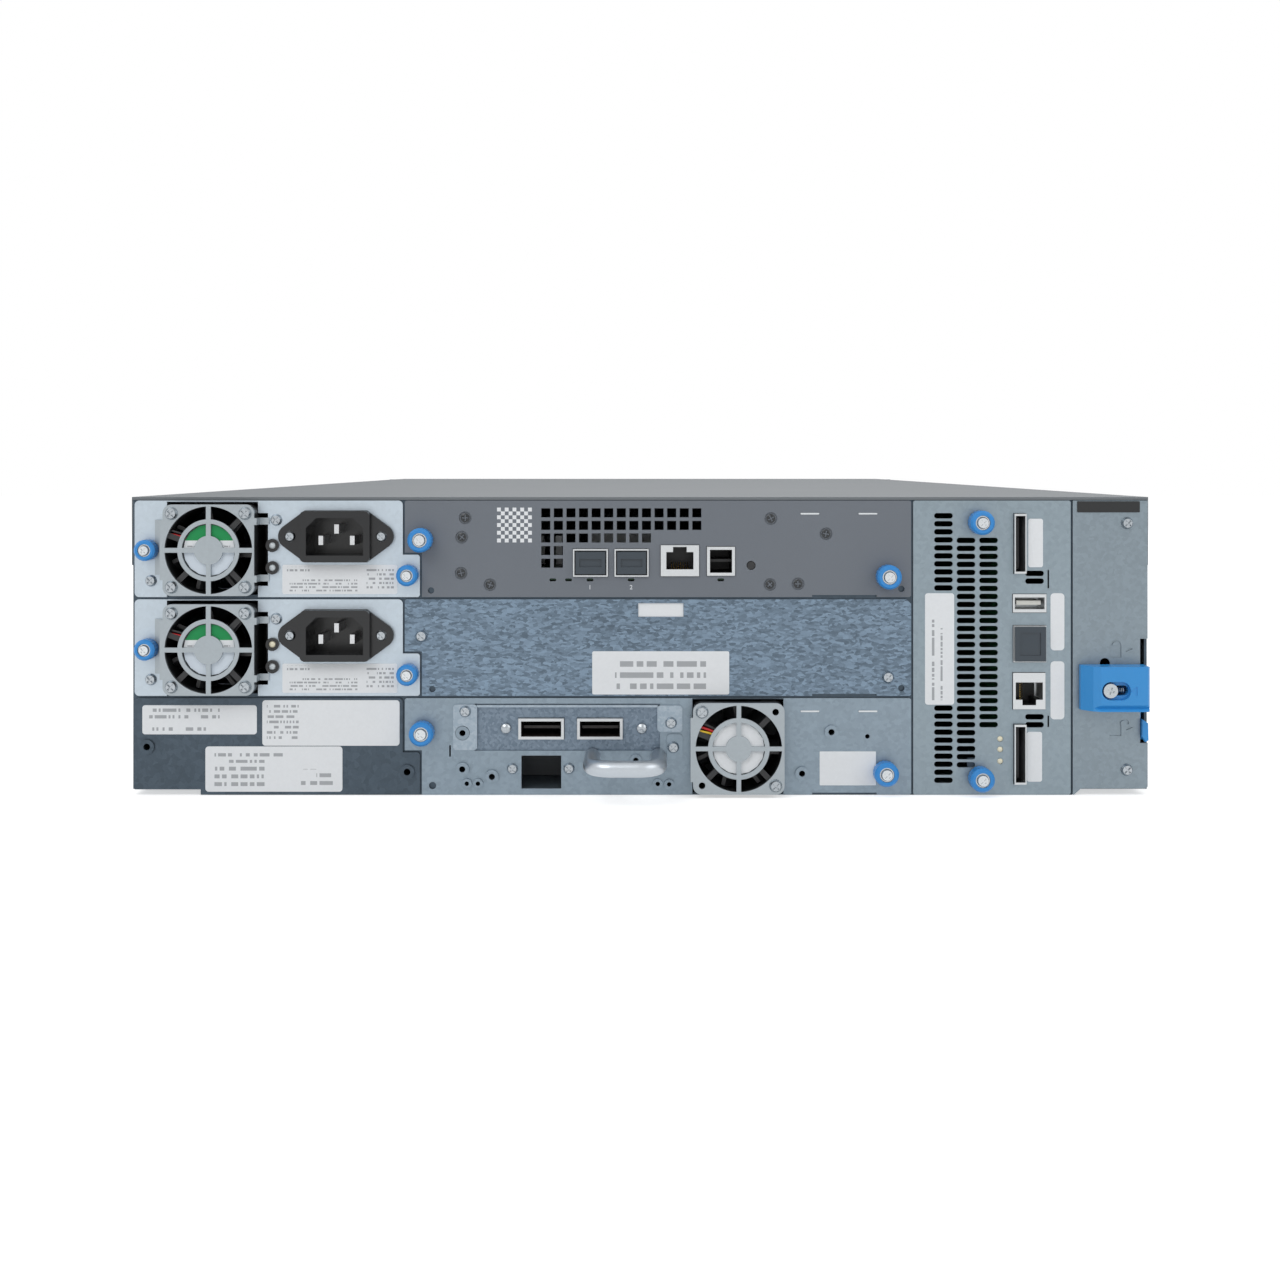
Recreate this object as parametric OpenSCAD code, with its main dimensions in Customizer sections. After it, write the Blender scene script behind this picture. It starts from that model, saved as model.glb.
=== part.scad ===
// Three-unit rack-mount data tape library, in millimetres.
// Seen from its rear (connector) side: +X right, +Y from the rear plates to the front bezel, +Z up.
// The origin is the middle of the footprint, on the surface that the chassis stands on.
// "Depth" below is the distance from the outer face of the rear plates, towards the front.

/* [Chassis] */
// Width of the chassis body between the rack ears
body_w = 446; // [446:1:450]
// Width over both rack ears
ear_span = 475; // [473:1:482]
// Height of one module row, with its share of the gaps
row_pitch = 43.4; // [43.4:0.2:45]
// Depth from the rear plates to the front of the bezel
case_d = 850; // [850:5:900]
// Thickness of the chassis sheet
wall_t = 1.2; // [1:0.1:1.2]
// Thickness of the module face plates
plate_t = 1.2; // [1:0.1:1.4]
// Thickness of the rear frame sheet
frame_t = 1.5; // [1.2:0.1:1.8]
// Height of the raised side strips of the floor
floor_step = 2.6; // [2:0.1:2.8]
// Height of the cover flanges that wrap the side walls
cover_flange_h = 30; // [22:1:36]
// Depth of the front bezel
bezel_d = 18; // [16:1:20]
// Thickness of the rack ears
ear_t = 2; // [1.6:0.2:2.4]

/* [Rack ears] */
// Horizontal distance between the rack bolt holes
ear_hole_span = 465.1; // [464:0.1:466]
// Vertical distance between the rack bolt holes
ear_hole_rise = 57.15; // [50:0.05:76]
// Radius of the rack bolt holes
ear_hole_r = 3.25; // [2.5:0.05:3.5]

/* [Module faces] */
// Gap between neighbouring face plates
face_gap = 0.9; // [0.6:0.1:1.2]
// Width of a power supply's face plate
psu_face_w = 117.8; // [117.4:0.1:118.2]
// Width of the corner tab on a power supply's face plate
psu_tab_w = 7.5; // [7.1:0.1:7.7]
// Height of that corner tab
psu_tab_h = 18.6; // [17:0.2:19]
// Width of the bridge, cover and drive sled face plates
bay_face_w = 222.4; // [222:0.1:223]
// Width of the controller's face plate
controller_w = 69.2; // [68.8:0.1:69.6]
// Depth of the modules behind their face plates
module_d = 240; // [236:1:241]
// Wall of the module housings
case_t = 1; // [0.8:0.1:1.2]

/* [Fans] */
// Side of a square fan frame
fan_side = 39.6; // [38:0.2:39.6]
// Thickness of a fan
fan_d = 28; // [25:1:32]
// How far a fan stands out of its face plate
fan_out = 5.5; // [4:0.5:7]
// Radius of a fan's air duct
fan_duct_r = 19; // [18:0.1:19]
// Radius of a fan's motor hub
fan_hub_r = 10; // [9:0.2:11]
// Number of blades on a fan rotor
fan_blades = 7; // [5:1:9]
// Distance between a fan's screws
fan_screw_span = 32; // [31:0.2:32.4]
// Thickness of a finger guard
guard_t = 1.5; // [1:0.1:1.8]

/* [Fasteners] */
// Radius of a power supply thumbscrew's knob
small_knob_r = 4.6; // [4:0.1:4.8]
// Radius of the other thumbscrews' knobs
large_knob_r = 5.3; // [4.8:0.1:5.5]
// Length of a thumbscrew's knob
knob_l = 7.5; // [6:0.5:9]
// Radius of a thumbscrew's shaft
thumb_shaft_r = 1.9; // [1.5:0.05:1.9]
// Radial running clearance of turning pieces
run_fit = 0.05; // [0.03:0.01:0.08]
// Radius of a pan-head screw's head
pan_r = 2.85; // [2.4:0.05:3]
// Radius of a panel screw's shank
shank_r = 1.4; // [1.2:0.05:1.5]

/* [Sled handle] */
// How far the handle stands out of the sled
handle_out = 34; // [30:1:40]
// Width over the handle's legs
handle_w = 36; // [34:1:40]
// Radius of the handle's bar
handle_bar_r = 3.5; // [3:0.1:4]

/* [Safety lock] */
// Width of the lock block
lock_block_w = 28.3; // [27:0.1:28.6]
// Height of the lock block
lock_block_h = 19.5; // [18:0.5:20]
// How far the lock block stands out
lock_block_out = 10; // [8:0.5:12]
// Sideways travel of the lock block
lock_push = 4; // [3:0.5:4.5]
// Upward travel of the lock carriage
lock_rise = 11; // [8:1:12]

/* [Magazines and cartridges] */
// Width of a cartridge
cart_w = 105.4; // [104:0.2:105.6]
// Length of a cartridge
cart_l = 102; // [100:0.5:103]
// Height of a cartridge
cart_h = 21.5; // [20:0.5:22.5]
// Distance between cartridge tiers
tier_pitch = 26.5; // [26:0.1:26.8]
// Number of cartridge tiers
tiers = 4; // [3:1:4]
// Distance between cartridge columns
column_pitch = 108; // [107.6:0.1:108.4]
// Number of cartridge columns in a magazine
columns = 5; // [4:1:5]
// Height of the lowest cartridges above the ground
cart_z0 = 12; // [11.6:0.1:12.4]

/* [Robot] */
// Height of the lift frame's beams
beam_h = 6; // [5:0.5:6]
// Module of the rack teeth
tooth_m = 1; // [0.8:0.1:1.2]
// Travel of the gripper tongue
grip_travel = 22; // [16:1:24]

/* [Hidden] */
$fn = 64;
eps = 0.01;

// Clearances: a seated face, a guided slide, and a piece in its cut-out
seat = 0.1;
guide = 0.3;
cut = 0.2;

// Overall sizes
body_h = 3 * row_pitch + 0.8;
rear_y = handle_out - (case_d + handle_out) / 2;
half_w = body_w / 2;
frame_d0 = plate_t + seat;
frame_d1 = frame_d0 + frame_t;
tray_d0 = frame_d1 + seat;
bezel_d0 = case_d - bezel_d;
cover_z0 = body_h - wall_t;
tray_top = cover_z0 - seat;
foot_half_w = half_w - 33;

// Module rows, from the bottom up, and columns, from left to right
row_z0 = 0.3;
row_h = row_pitch - 1;
function row_z(i) = row_z0 + i * row_pitch;
psu_x0 = -half_w + 1;
psu_x1 = psu_x0 + psu_face_w;
bay_x0 = psu_x1 + face_gap;
bay_x1 = bay_x0 + bay_face_w;
ctl_x0 = bay_x1 + face_gap;
ctl_x1 = ctl_x0 + controller_w;
lock_x0 = ctl_x1 + face_gap;
lock_x1 = half_w;
notch_x = psu_x1 + psu_tab_w + face_gap;
notch_h = psu_tab_h + face_gap;

// Housings behind the plates: how far they stand in from the plate's edges
body_up = 1.2;
body_top = row_h - 1;
psu_body_x0 = psu_x0 + 14;
psu_body_x1 = psu_x1 - 3.1;
bay_body_x0 = bay_x0 + 14.3;
bay_body_x1 = bay_x1 - 17.1;
module_end = plate_t + module_d;
shelf_t = 1.2;
divider_d1 = module_end + 2.5;
wall_a_x = psu_x1 + 5.4;
wall_b_x = bay_x1 - 4.5;
wall_c_x = ctl_x1 + 0.4;
board_d = module_end + 3;

// Fans, relative to their module
psu_fan_x = psu_x0 + 34.2;
psu_fan_dz = 20.9;
sled_fan_x = bay_x0 + 146.3;
sled_fan_dz = 21.3;
fan_seat_d = -fan_out;
guard_d0 = fan_seat_d - guard_t;

// Thumbscrew places: [x, z above the row]
psu_thumb_l = [psu_x0 + 6.2, 20.8];
psu_thumb_r = [psu_x1 + 2.6, 9.8];
bridge_thumb_l = [bay_x0 + 7.3, 25.2];
bridge_thumb_r = [bay_x1 - 10.4, 9.1];
sled_thumb_l = [bay_x0 + 7.9, 27.5];
sled_thumb_r = [bay_x1 - 11.6, 9.9];
ctl_thumb_x = ctl_x0 + 29.2;
ctl_thumb_dz = 9.7;
thumb_reach = 8;

// Inlet and face furniture of a power supply, relative to its row
inlet_x = psu_x1 - 29.1;
inlet_dz = 26.7;
inlet_screw_span = 40;
pipe_x = psu_x0 + 60.7;
pipe_dz = [22.7, 12.9];
psu_face_screws = [[psu_x0 + 62.3, 33.9], [psu_x0 + 7.2, 7.2]];

// Bridge ports, [x0, z0, x1, z1] from the bay's left edge and the row's bottom
sfp_1 = [73.9, 9, 89.2, 21.1];
sfp_2 = [92.1, 9, 107.1, 21.1];
service_port = [112.4, 9.2, 129.2, 22.8];
sas_out = [132.7, 9.4, 145, 22.1];
reset_at = [152.1, 13.9];
bridge_pcb_z = 8.8;
pcb_t = 1.6;
// Recessed case screws on the bridge's face
bridge_screws = [[26.5, 34.8], [25, 26.3], [24.7, 10.5], [37.4, 5.4], [160.8, 34.5], [185, 27.8],
                 [160.4, 5.5], [172.7, 5.8]];

// Drive bay cover
cover_screws = [[7.3, 26.3], [bay_face_w - 10.2, 8.3]];

// Drive sled, from the bay's left edge and the row's bottom
sas_ports = [49.9, 75.7];
sas_port_w = 20;
sas_port_z0 = 24.4;
sas_port_h = 9.1;
sas_recess = [30.6, 19.3, 112.1, 40];
handle_x = 96.9;
handle_z = 17.2;
handle_bend_r = 9;
sled_bushes = [[25.4, 27.2, 3], [25.3, 11.3, 3], [38.3, 8, 3], [101.5, 15.3, 2.6], [187.3, 27.6, 3],
               [174.4, 9.4, 3], [27.3, 5, 2.2], [32.2, 5, 2.2], [111.1, 4.9, 2.2], [116.1, 4.7, 2.2]];
sled_studs = [[47.3, 11.5], [72.1, 11.6]];
bracket_screws = [[26.6, 36.7], [116.9, 31.7], [117.9, 21]];
drive_w = 146;
drive_d0 = plate_t + 31;
mouth_w = 109;
mouth_z0 = cart_z0 - 1;
mouth_z1 = cart_z0 + cart_h + 1.5;

// Controller: slots and ports, from the panel's left edge and the ground
slot_w = 8.2;
slot_h = 2.4;
slot_pitch = 3.52;
slot_columns = [[9.2, 121.6, 34], [19.1, 110.8, 29], [29, 110.8, 24]];
module_ports = [5.1, 97.5];
module_port = [44.1, 5.2, 26.2];
usb_port = [43.7, 80.4, 58.4, 88.4];
diag_port = [43.9, 58.6, 58.3, 74.6];
mgmt_port = [43.7, 37.9, 57.9, 53.9];
ctl_board_x = ctl_x0 + 42;
ctl_board_d = 200;

// Safety lock, from the right edge of the chassis
lock_block_x0 = lock_x1 - 30.2;
lock_block_z0 = 38.1;
lock_pin_x = lock_block_x0 + 11.4;
lock_pin_z = lock_block_z0 + 9;
lock_pin_r = 1.9;
lock_slot_x = lock_x1 - 3.3;
lock_slot_z = [23, 68.8];
lock_carrier_t = 2;

// Magazines: outer face, back wall and the places of the cartridges
mag_x_out = half_w - 6;
mag_wall = 4;
mag_w = mag_wall + guide + cart_l - 3;
mag_d0 = module_end + 21.8;
mag_z0 = cart_z0 - 4;
mag_z1 = cart_z0 + tiers * tier_pitch + 4;
cart_x_out = mag_x_out - mag_wall - guide;
column_d0 = mag_d0 + 4 + column_pitch / 2;
slot_clear_h = tier_pitch - 2.2;
door_gap = 0.5;
door_x1 = mag_x_out - mag_w - 9;
door_z0 = 6;
door_z1 = body_h - 7;
rail_w = 6;

// Robot: beams beside the aisle, carriage between them, picker on its pivot
robot_d0 = module_end + 12.8;
robot_d1 = bezel_d0 - 8;
beam_x0 = 89;
beam_w = 8;
beam_z0 = 2.5;
beam_z1 = beam_z0 + beam_h;
cross_w = 8;
rack_x0 = beam_x0 + beam_w + 4;
rack_d = 7;
rack_back = 6;
picker_d = column_d0;
picker_half_l = 50;
picker_wall = 2.2;
picker_half_w = cart_w / 2 + 0.5 + picker_wall;
pivot_r = 6;
turntable_r = 56;
turntable_z0 = beam_z0 + 3.8;
picker_floor_z0 = beam_z1 + 0.5;
picker_floor_z1 = cart_z0 - 0.5;
picker_top = cart_z0 + cart_h + 3;
carriage_half_d = 58;

// Operator panel
panel_x = 69.5;
panel_z0 = 30;
panel_z1 = 110;
button_at = [52, 42];
button_r = 6;

// ---------- shared shapes ----------

// Extrudes a drawing of the rear view, from one depth to another
module at_depth(d0, d1) {
    translate([0, rear_y + d1, 0])
        rotate([90, 0, 0])
            linear_extrude(d1 - d0)
                children();
}

module rect(x0, z0, x1, z1) {
    translate([x0, z0])
        square([x1 - x0, z1 - z0]);
}

module round_rect(x0, z0, x1, z1, r) {
    rect(x0 + r, z0, x1 - r, z1);
    rect(x0, z0 + r, x1, z1 - r);
    for (x = [x0 + r, x1 - r], z = [z0 + r, z1 - r])
        translate([x, z])
            circle(r);
}

module obround(x0, z0, w, h) {
    r = min(w, h) / 2;
    round_rect(x0, z0, x0 + w, z0 + h, r - eps);
}

module dot(x, z, r) {
    translate([x, z])
        circle(r);
}

// A box given by its corners: x, depth, z
module block(x0, d0, z0, x1, d1, z1) {
    translate([x0, rear_y + d0, z0])
        cube([x1 - x0, d1 - d0, z1 - z0]);
}

// Pan-head screw whose head stands out of the surface at a depth
module pan_screw(x, z, d, r = pan_r, shank = 3) {
    head_h = r * 0.62;
    difference() {
        union() {
            translate([x, rear_y + d, z])
                rotate([90, 0, 0])
                    cylinder(h = head_h, r1 = r, r2 = r * 0.72);
            at_depth(d - eps, d + shank)
                dot(x, z, shank_r);
        }
        for (a = [45, 135])
            translate([x, rear_y + d - head_h, z])
                rotate([0, a, 0])
                    cube([r * 1.25, head_h * 1.2, r * 0.28], center = true);
    }
}

// Captive thumbscrew: a fluted knob, the metal screw in it and the shaft through the plate
module thumbscrew(x, z, knob_r) {
    flutes = 20;
    translate([x, rear_y, z])
        rotate([90, 0, 0]) {
            difference() {
                rotate_extrude()
                    polygon([[0, seat], [knob_r - 0.8, seat], [knob_r, 0.9], [knob_r, knob_l - 1],
                             [knob_r - 0.8, knob_l], [knob_r * 0.62, knob_l],
                             [knob_r * 0.56, knob_l - 0.9], [0, knob_l - 0.9]]);
                for (i = [0 : flutes - 1])
                    rotate(i * 360 / flutes)
                        translate([knob_r + 0.12, 0, seat - eps])
                            cylinder(h = knob_l - 1, r = 0.35, $fn = 16);
            }
            difference() {
                translate([0, 0, knob_l - 1])
                    cylinder(h = 1.5, r1 = knob_r * 0.52, r2 = knob_r * 0.42);
                for (a = [45, 135])
                    rotate(a)
                        translate([0, 0, knob_l + 0.6])
                            cube([knob_r * 0.6, 0.8, 1.3], center = true);
            }
            translate([0, 0, -thumb_reach])
                cylinder(h = thumb_reach + 1, r = thumb_shaft_r);
        }
}

// Square fan frame with its outboard motor seat on four struts
module fan_frame(x, z) {
    d1 = fan_seat_d + fan_d;
    strut = 2.4;
    half = fan_side / 2;
    difference() {
        at_depth(fan_seat_d, d1)
            difference() {
                round_rect(x - half, z - half, x + half, z + half, 3.6);
                dot(x, z, fan_duct_r);
                for (sx = [-1, 1], sz = [-1, 1])
                    dot(x + sx * fan_screw_span / 2, z + sz * fan_screw_span / 2, shank_r + run_fit);
            }
        // The flanges at both ends are joined only by the duct and the screw corners
        for (a = [0 : 90 : 270])
            translate([x, rear_y, z])
                rotate([0, a, 0])
                    translate([-fan_side / 4, fan_seat_d + 4, fan_duct_r + 0.4])
                        cube([fan_side / 2, fan_d - 8, half]);
    }
    difference() {
        at_depth(fan_seat_d, fan_seat_d + 2.6) {
            dot(x, z, fan_hub_r + 1.5);
            for (a = [45, 160, 225, 315])
                translate([x, z])
                    rotate(a)
                        translate([0, -strut / 2])
                            square([fan_duct_r + 0.3, strut]);
        }
        at_depth(fan_seat_d + 0.8, fan_seat_d + 2.6 + eps)
            dot(x, z, 1.5 + run_fit);
    }
}

// Cambered fan blade: a slice of a tube wall, from the hub to the duct
module fan_blade() {
    bow = 16;
    thick = 1.1;
    rotate([0, 90, 0])
        linear_extrude(fan_duct_r)
            intersection() {
                translate([-3, bow - 3])
                    difference() {
                        circle(bow);
                        circle(bow - thick);
                    }
                translate([-fan_d * 0.3, -fan_d * 0.2])
                    square([fan_d * 0.6, 9.5]);
            }
}

module fan_rotor(x, z) {
    d0 = fan_seat_d + 2.6 + guide;
    d1 = fan_seat_d + fan_d - 3;
    translate([x, rear_y, z])
        rotate([-90, 0, 0]) {
            translate([0, 0, d0])
                cylinder(h = d1 - d0, r = fan_hub_r);
            translate([0, 0, fan_seat_d + 1.1])
                cylinder(h = d0 - fan_seat_d, r = 1.5);
            intersection() {
                translate([0, 0, d0])
                    cylinder(h = d1 - d0, r = fan_duct_r - 0.6);
                union() {
                    for (i = [0 : fan_blades - 1])
                        rotate(i * 360 / fan_blades)
                            translate([0, 0, (d0 + d1) / 2])
                                fan_blade();
                }
            }
        }
}

// Finger guard with rings and spokes
module fan_guard_plate(x, z, hole_r, ring, hub_r, spoke) {
    half = fan_side / 2 + 0.1;
    at_depth(guard_d0, fan_seat_d) {
        difference() {
            round_rect(x - half, z - half, x + half, z + half, 3.8);
            dot(x, z, hole_r);
            for (sx = [-1, 1], sz = [-1, 1])
                dot(x + sx * fan_screw_span / 2, z + sz * fan_screw_span / 2, shank_r + run_fit);
        }
        difference() {
            dot(x, z, ring[0]);
            dot(x, z, ring[1]);
        }
        dot(x, z, hub_r);
        for (a = [0 : 90 : 270])
            translate([x, z])
                rotate(a)
                    translate([0, -spoke / 2])
                        square([hole_r + 0.5, spoke]);
    }
}

// Two crossed screws or four, on the corners of a fan
module fan_screws(x, z, corners) {
    for (c = corners)
        pan_screw(x + c[0] * fan_screw_span / 2, z + c[1] * fan_screw_span / 2, guard_d0, shank = 8);
}

// Sheet-metal cage open to the rear, [x0, z0, x1, z1]
module port_cage(p, d0, d1, wall, stop) {
    difference() {
        block(p[0], d0, p[1], p[2], d1, p[3]);
        block(p[0] + wall[0], d0 - 1, p[1] + wall[1], p[2] - wall[0], stop, p[3] - wall[2]);
    }
}

// Modular jack with its latch groove and eight contacts; latch is +1 above or -1 below
module jack(p, latch) {
    w = 11.9;
    h = 7.6;
    cx = (p[0] + p[2]) / 2;
    cz = (p[1] + p[3]) / 2;
    difference() {
        block(p[0], -0.8, p[1], p[2], 21, p[3]);
        block(cx - w / 2, -2, cz - h / 2, cx + w / 2, 13, cz + h / 2);
        block(cx - 3, -2, cz + (latch > 0 ? h / 2 - 1 : -h / 2 - 2.4), cx + 3, 13,
              cz + (latch > 0 ? h / 2 + 2.4 : -h / 2 + 1));
    }
}

function shift(p, dx, dz) = [p[0] + dx, p[1] + dz, p[2] + dx, p[3] + dz];
function grow(p, by) = [p[0] - by, p[1] - by, p[2] + by, p[3] + by];

module port_hole(p) {
    q = grow(p, cut);
    rect(q[0], q[1], q[2], q[3]);
}

// Outline of a power supply's face and of the frame's panel under it
module psu_outline(z) {
    difference() {
        union() {
            round_rect(psu_x0, z, psu_x1, z + row_h, 2);
            round_rect(psu_x1 - 6, z, psu_x1 + psu_tab_w, z + psu_tab_h, 1.2);
        }
        children();
    }
}

// Outline of the bridge, the bay cover and the sled, round the neighbouring tab
module bay_outline(z, tuck = true) {
    difference() {
        round_rect(bay_x0, z, bay_x1, z + row_h, 1);
        if (tuck)
            rect(bay_x0 - 1, z - 1, notch_x, z + notch_h);
        children();
    }
}

// Housing of a bay module: open towards the front when asked
module bay_body(z, open_end) {
    difference() {
        block(bay_body_x0, plate_t - eps, z + body_up, bay_body_x1, module_end, z + body_top);
        block(bay_body_x0 + case_t, -1, z + body_up + case_t, bay_body_x1 - case_t,
              open_end ? module_end + 1 : module_end - case_t, z + body_top - case_t);
    }
}

module thumb_hole(at, z) {
    dot(at[0], z + at[1], thumb_shaft_r + run_fit);
}

// ---------- chassis ----------

// Section of the tray, in or out by a wall
function tray_points(t) = [
    [-half_w + t, tray_top + (t > 0 ? 1 : 0)], [-half_w + t, floor_step + t],
    [-foot_half_w - 3 + t / 2, floor_step + t], [-foot_half_w + t / 2, t],
    [foot_half_w - t / 2, t], [foot_half_w + 3 - t / 2, floor_step + t],
    [half_w - t, floor_step + t], [half_w - t, tray_top + (t > 0 ? 1 : 0)]];

// Upper face of the floor at a place across the chassis, right of the middle
function floor_top(x) = wall_t + max(0, min(floor_step, (x - foot_half_w + wall_t / 2) * floor_step / 3));

ear_d1 = bezel_d0 - seat;
ear_z = body_h / 2;
side_hole_r = 2.2;
side_hole_d = [140, 500];
side_hole_z = 50;

module base_chassis() {
    color("#9aa1a6") {
        difference() {
            at_depth(tray_d0, ear_d1)
                difference() {
                    polygon(tray_points(0));
                    polygon(tray_points(wall_t));
                }
            for (d = side_hole_d)
                translate([-half_w - 1, rear_y + d, side_hole_z])
                    rotate([0, 90, 0])
                        cylinder(h = body_w + 2, r = side_hole_r);
        }
        // Rack ears: a folded strip along each side wall and the drilled front lug
        for (s = [-1, 1]) {
            at_depth(ear_d1 - ear_t, ear_d1)
                difference() {
                    round_rect(s > 0 ? half_w - eps : -ear_span / 2, 0.5,
                               s > 0 ? ear_span / 2 : -half_w + eps, body_h - 0.5, 1.5);
                    for (k = [-1, 1])
                        dot(s * ear_hole_span / 2, ear_z + k * ear_hole_rise / 2, ear_hole_r);
                }
            at_depth(ear_d1 - 36, ear_d1)
                rect(s > 0 ? half_w - eps : -half_w - ear_t, 4,
                     s > 0 ? half_w + ear_t : -half_w + eps, cover_z0 - cover_flange_h);
        }
    }
}

cover_side = 1;
cover_x = half_w + seat + cover_side;

module top_cover() {
    color("#959a9d") {
        at_depth(0, bezel_d0 - seat)
            rect(-half_w, cover_z0, half_w, body_h);
        at_depth(tray_d0, bezel_d0 - 40)
            for (s = [-1, 1]) {
                rect(s > 0 ? half_w - eps : -cover_x, cover_z0, s > 0 ? cover_x : -half_w + eps, body_h);
                rect(s > 0 ? cover_x - cover_side : -cover_x, body_h - cover_flange_h,
                     s > 0 ? cover_x : cover_side - cover_x, cover_z0 + eps);
            }
    }
}

// Openings of the frame that the modules slide through
module frame_openings() {
    lo = body_up - guide;
    hi = body_top + guide;
    for (i = [1, 2])
        rect(psu_body_x0 - guide, row_z(i) + lo, psu_body_x1 + guide, row_z(i) + hi);
    for (i = [0 : 2])
        rect(bay_body_x0 - guide, row_z(i) + lo, bay_body_x1 + guide, row_z(i) + hi);
    difference() {
        rect(ctl_x0 + 2, row_z0 + lo, ctl_x1 - 2, row_z(2) + hi);
        for (z = [0, body_h - ctl_thumb_dz - 6.5])
            rect(ctl_thumb_x - 5.2, z, ctl_thumb_x + 5.2, z + ctl_thumb_dz + 6.5);
    }
    rect(lock_block_x0 + 1, 22, lock_x1 - 1.2, 72);
}

bush_at = [[psu_x0 + 5.6, 21.1], [psu_x1 + 2, 10.1]];

module rear_frame() {
    color("#6f7c86") {
        difference() {
            union() {
                at_depth(frame_d0, frame_d1)
                    difference() {
                        polygon(tray_points(0));
                        frame_openings();
                    }
                // Closed panel below the power supplies, pressed out to the plane of the plates
                at_depth(0, frame_d0 + eps)
                    difference() {
                        psu_outline(row_z0)
                            rect(psu_x0 - 1, -1, -foot_half_w - 3, floor_step);
                        rect(psu_x0 + 8, row_z0 + 8, psu_x1 - 8, row_z0 + row_h - 8);
                    }
                at_depth(0, plate_t)
                    rect(psu_x0 + 7, row_z0 + 7, psu_x1 - 7, row_z0 + row_h - 7);
                at_depth(-1, eps)
                    for (b = bush_at)
                        dot(b[0], row_z0 + b[1], 3.2);
            }
            at_depth(-2, frame_d1 + 1) {
                for (b = bush_at)
                    dot(b[0], row_z0 + b[1], 1.5);
                for (i = [1, 2]) {
                    thumb_hole(psu_thumb_l, row_z(i));
                    thumb_hole(psu_thumb_r, row_z(i));
                }
                thumb_hole(bridge_thumb_l, row_z(2));
                thumb_hole(bridge_thumb_r, row_z(2));
                thumb_hole(sled_thumb_l, row_z0);
                thumb_hole(sled_thumb_r, row_z0);
                for (z = [ctl_thumb_dz - 1.9, body_h - ctl_thumb_dz - 1.4])
                    dot(ctl_thumb_x, z, thumb_shaft_r + run_fit);
                for (p = concat(lock_screws, frame_cover_screws))
                    dot(p[0], p[1], shank_r + run_fit);
            }
        }
    }
}

lock_screws = [[lock_x1 - 9.1, body_h - 11.4], [lock_x1 - 9.3, 11.3]];
frame_cover_screws = [for (p = cover_screws) [bay_x0 + p[0], row_z(1) + p[1]]];

// Involute-like straight rack: root, flanks and tips by tooth number
rack_l = body_h - 14;
teeth = floor((rack_l - 4) / (PI * tooth_m));
function rack_points() = concat(
    [[rack_back, 0], [0, 0]],
    [for (i = [0 : teeth - 1], k = [[0, 0.2], [-1, 0.37], [-1, 0.63], [0, 0.8]])
        [k[0] * 2 * tooth_m, 2 + (i + k[1]) * PI * tooth_m]],
    [[0, rack_l], [rack_back, rack_l]]);

// Walls, shelves, magazine rails and lift racks, each bent or cut from its own piece
module inner_frame() {
    wall_z0 = wall_t + seat;
    d0 = frame_d1 + 0.3;
    color("#8a949c") {
        for (x = [wall_a_x - shelf_t / 2, wall_b_x, wall_c_x])
            block(x, d0, floor_top(x + shelf_t) + seat, x + shelf_t, divider_d1, tray_top - 0.2);
        for (i = [1, 2]) {
            z1 = row_z(i) + body_up - guide;
            block(-half_w + wall_t + seat, d0, z1 - shelf_t, wall_a_x - shelf_t / 2 - seat, divider_d1, z1);
            block(wall_a_x + shelf_t / 2 + seat, d0, z1 - shelf_t, wall_b_x - seat, divider_d1, z1);
        }
        for (s = [-1, 1])
            for (x = [mag_x_out - 8, mag_x_out - mag_w + 2]) {
                z0 = (x > foot_half_w - 4 ? floor_step : 0) + wall_t + seat;
                xa = s > 0 ? x : -x - rail_w;
                block(xa, mag_d0 + 1, z0, xa + rail_w, bezel_d0 - 6, mag_z0 - guide);
            }
        for (s = [-1, 1], d = [robot_d0, robot_d1 - rack_d]) {
            translate([s * rack_x0, rear_y + d + rack_d, wall_z0])
                mirror([s > 0 ? 0 : 1, 0, 0])
                    rotate([90, 0, 0])
                        linear_extrude(rack_d)
                            polygon(rack_points());
            // Stop under the end of the lift beam
            block(s > 0 ? beam_x0 : -rack_x0 - eps, d, wall_z0,
                  s > 0 ? rack_x0 + eps : -beam_x0, d + rack_d, beam_z0 - seat);
        }
    }
}

// Punched slits and the black gap at the bottom right that the bay plates share
module bay_slits(z) {
    for (x = [bay_x0 + 173.8, bay_x0 + 199.3])
        rect(x, z + row_h - 6.2, x + 8.3, z + row_h - 5.4);
    rect(bay_x0 + 178.9, z - 1, bay_x0 + 207.3, z + 0.9);
}

module bay_cover() {
    z = row_z(1);
    color("#75859a") {
        difference() {
            at_depth(0, plate_t)
                bay_outline(z) {
                    polygon([[bay_x1 - 3, z + row_h + 1], [bay_x1 + 1, z + row_h + 1], [bay_x1 + 1, z + row_h - 3]]);
                    rect(bay_x0 + 178.9, z - 1, bay_x0 + 207.3, z + 0.9);
                    for (p = cover_screws)
                        dot(bay_x0 + p[0], z + p[1], shank_r + run_fit);
                    dot(bay_x0 + 12.1, z + 3, 1.4);
                    dot(bay_x1 - 4.3, z + 3.4, 1.4);
                }
            // Shallow pressed window near the top edge
            at_depth(-1, plate_t / 2)
                rect(bay_x0 + 102.4, z + 34.6, bay_x0 + 122.5, z + 40.8);
        }
        // Stiffening lips folded into the bay
        at_depth(plate_t - eps, plate_t + 12) {
            rect(bay_body_x0, z + body_up, bay_body_x1, z + body_up + case_t);
            rect(bay_body_x0, z + body_top - case_t, bay_body_x1, z + body_top);
        }
    }
}

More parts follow.
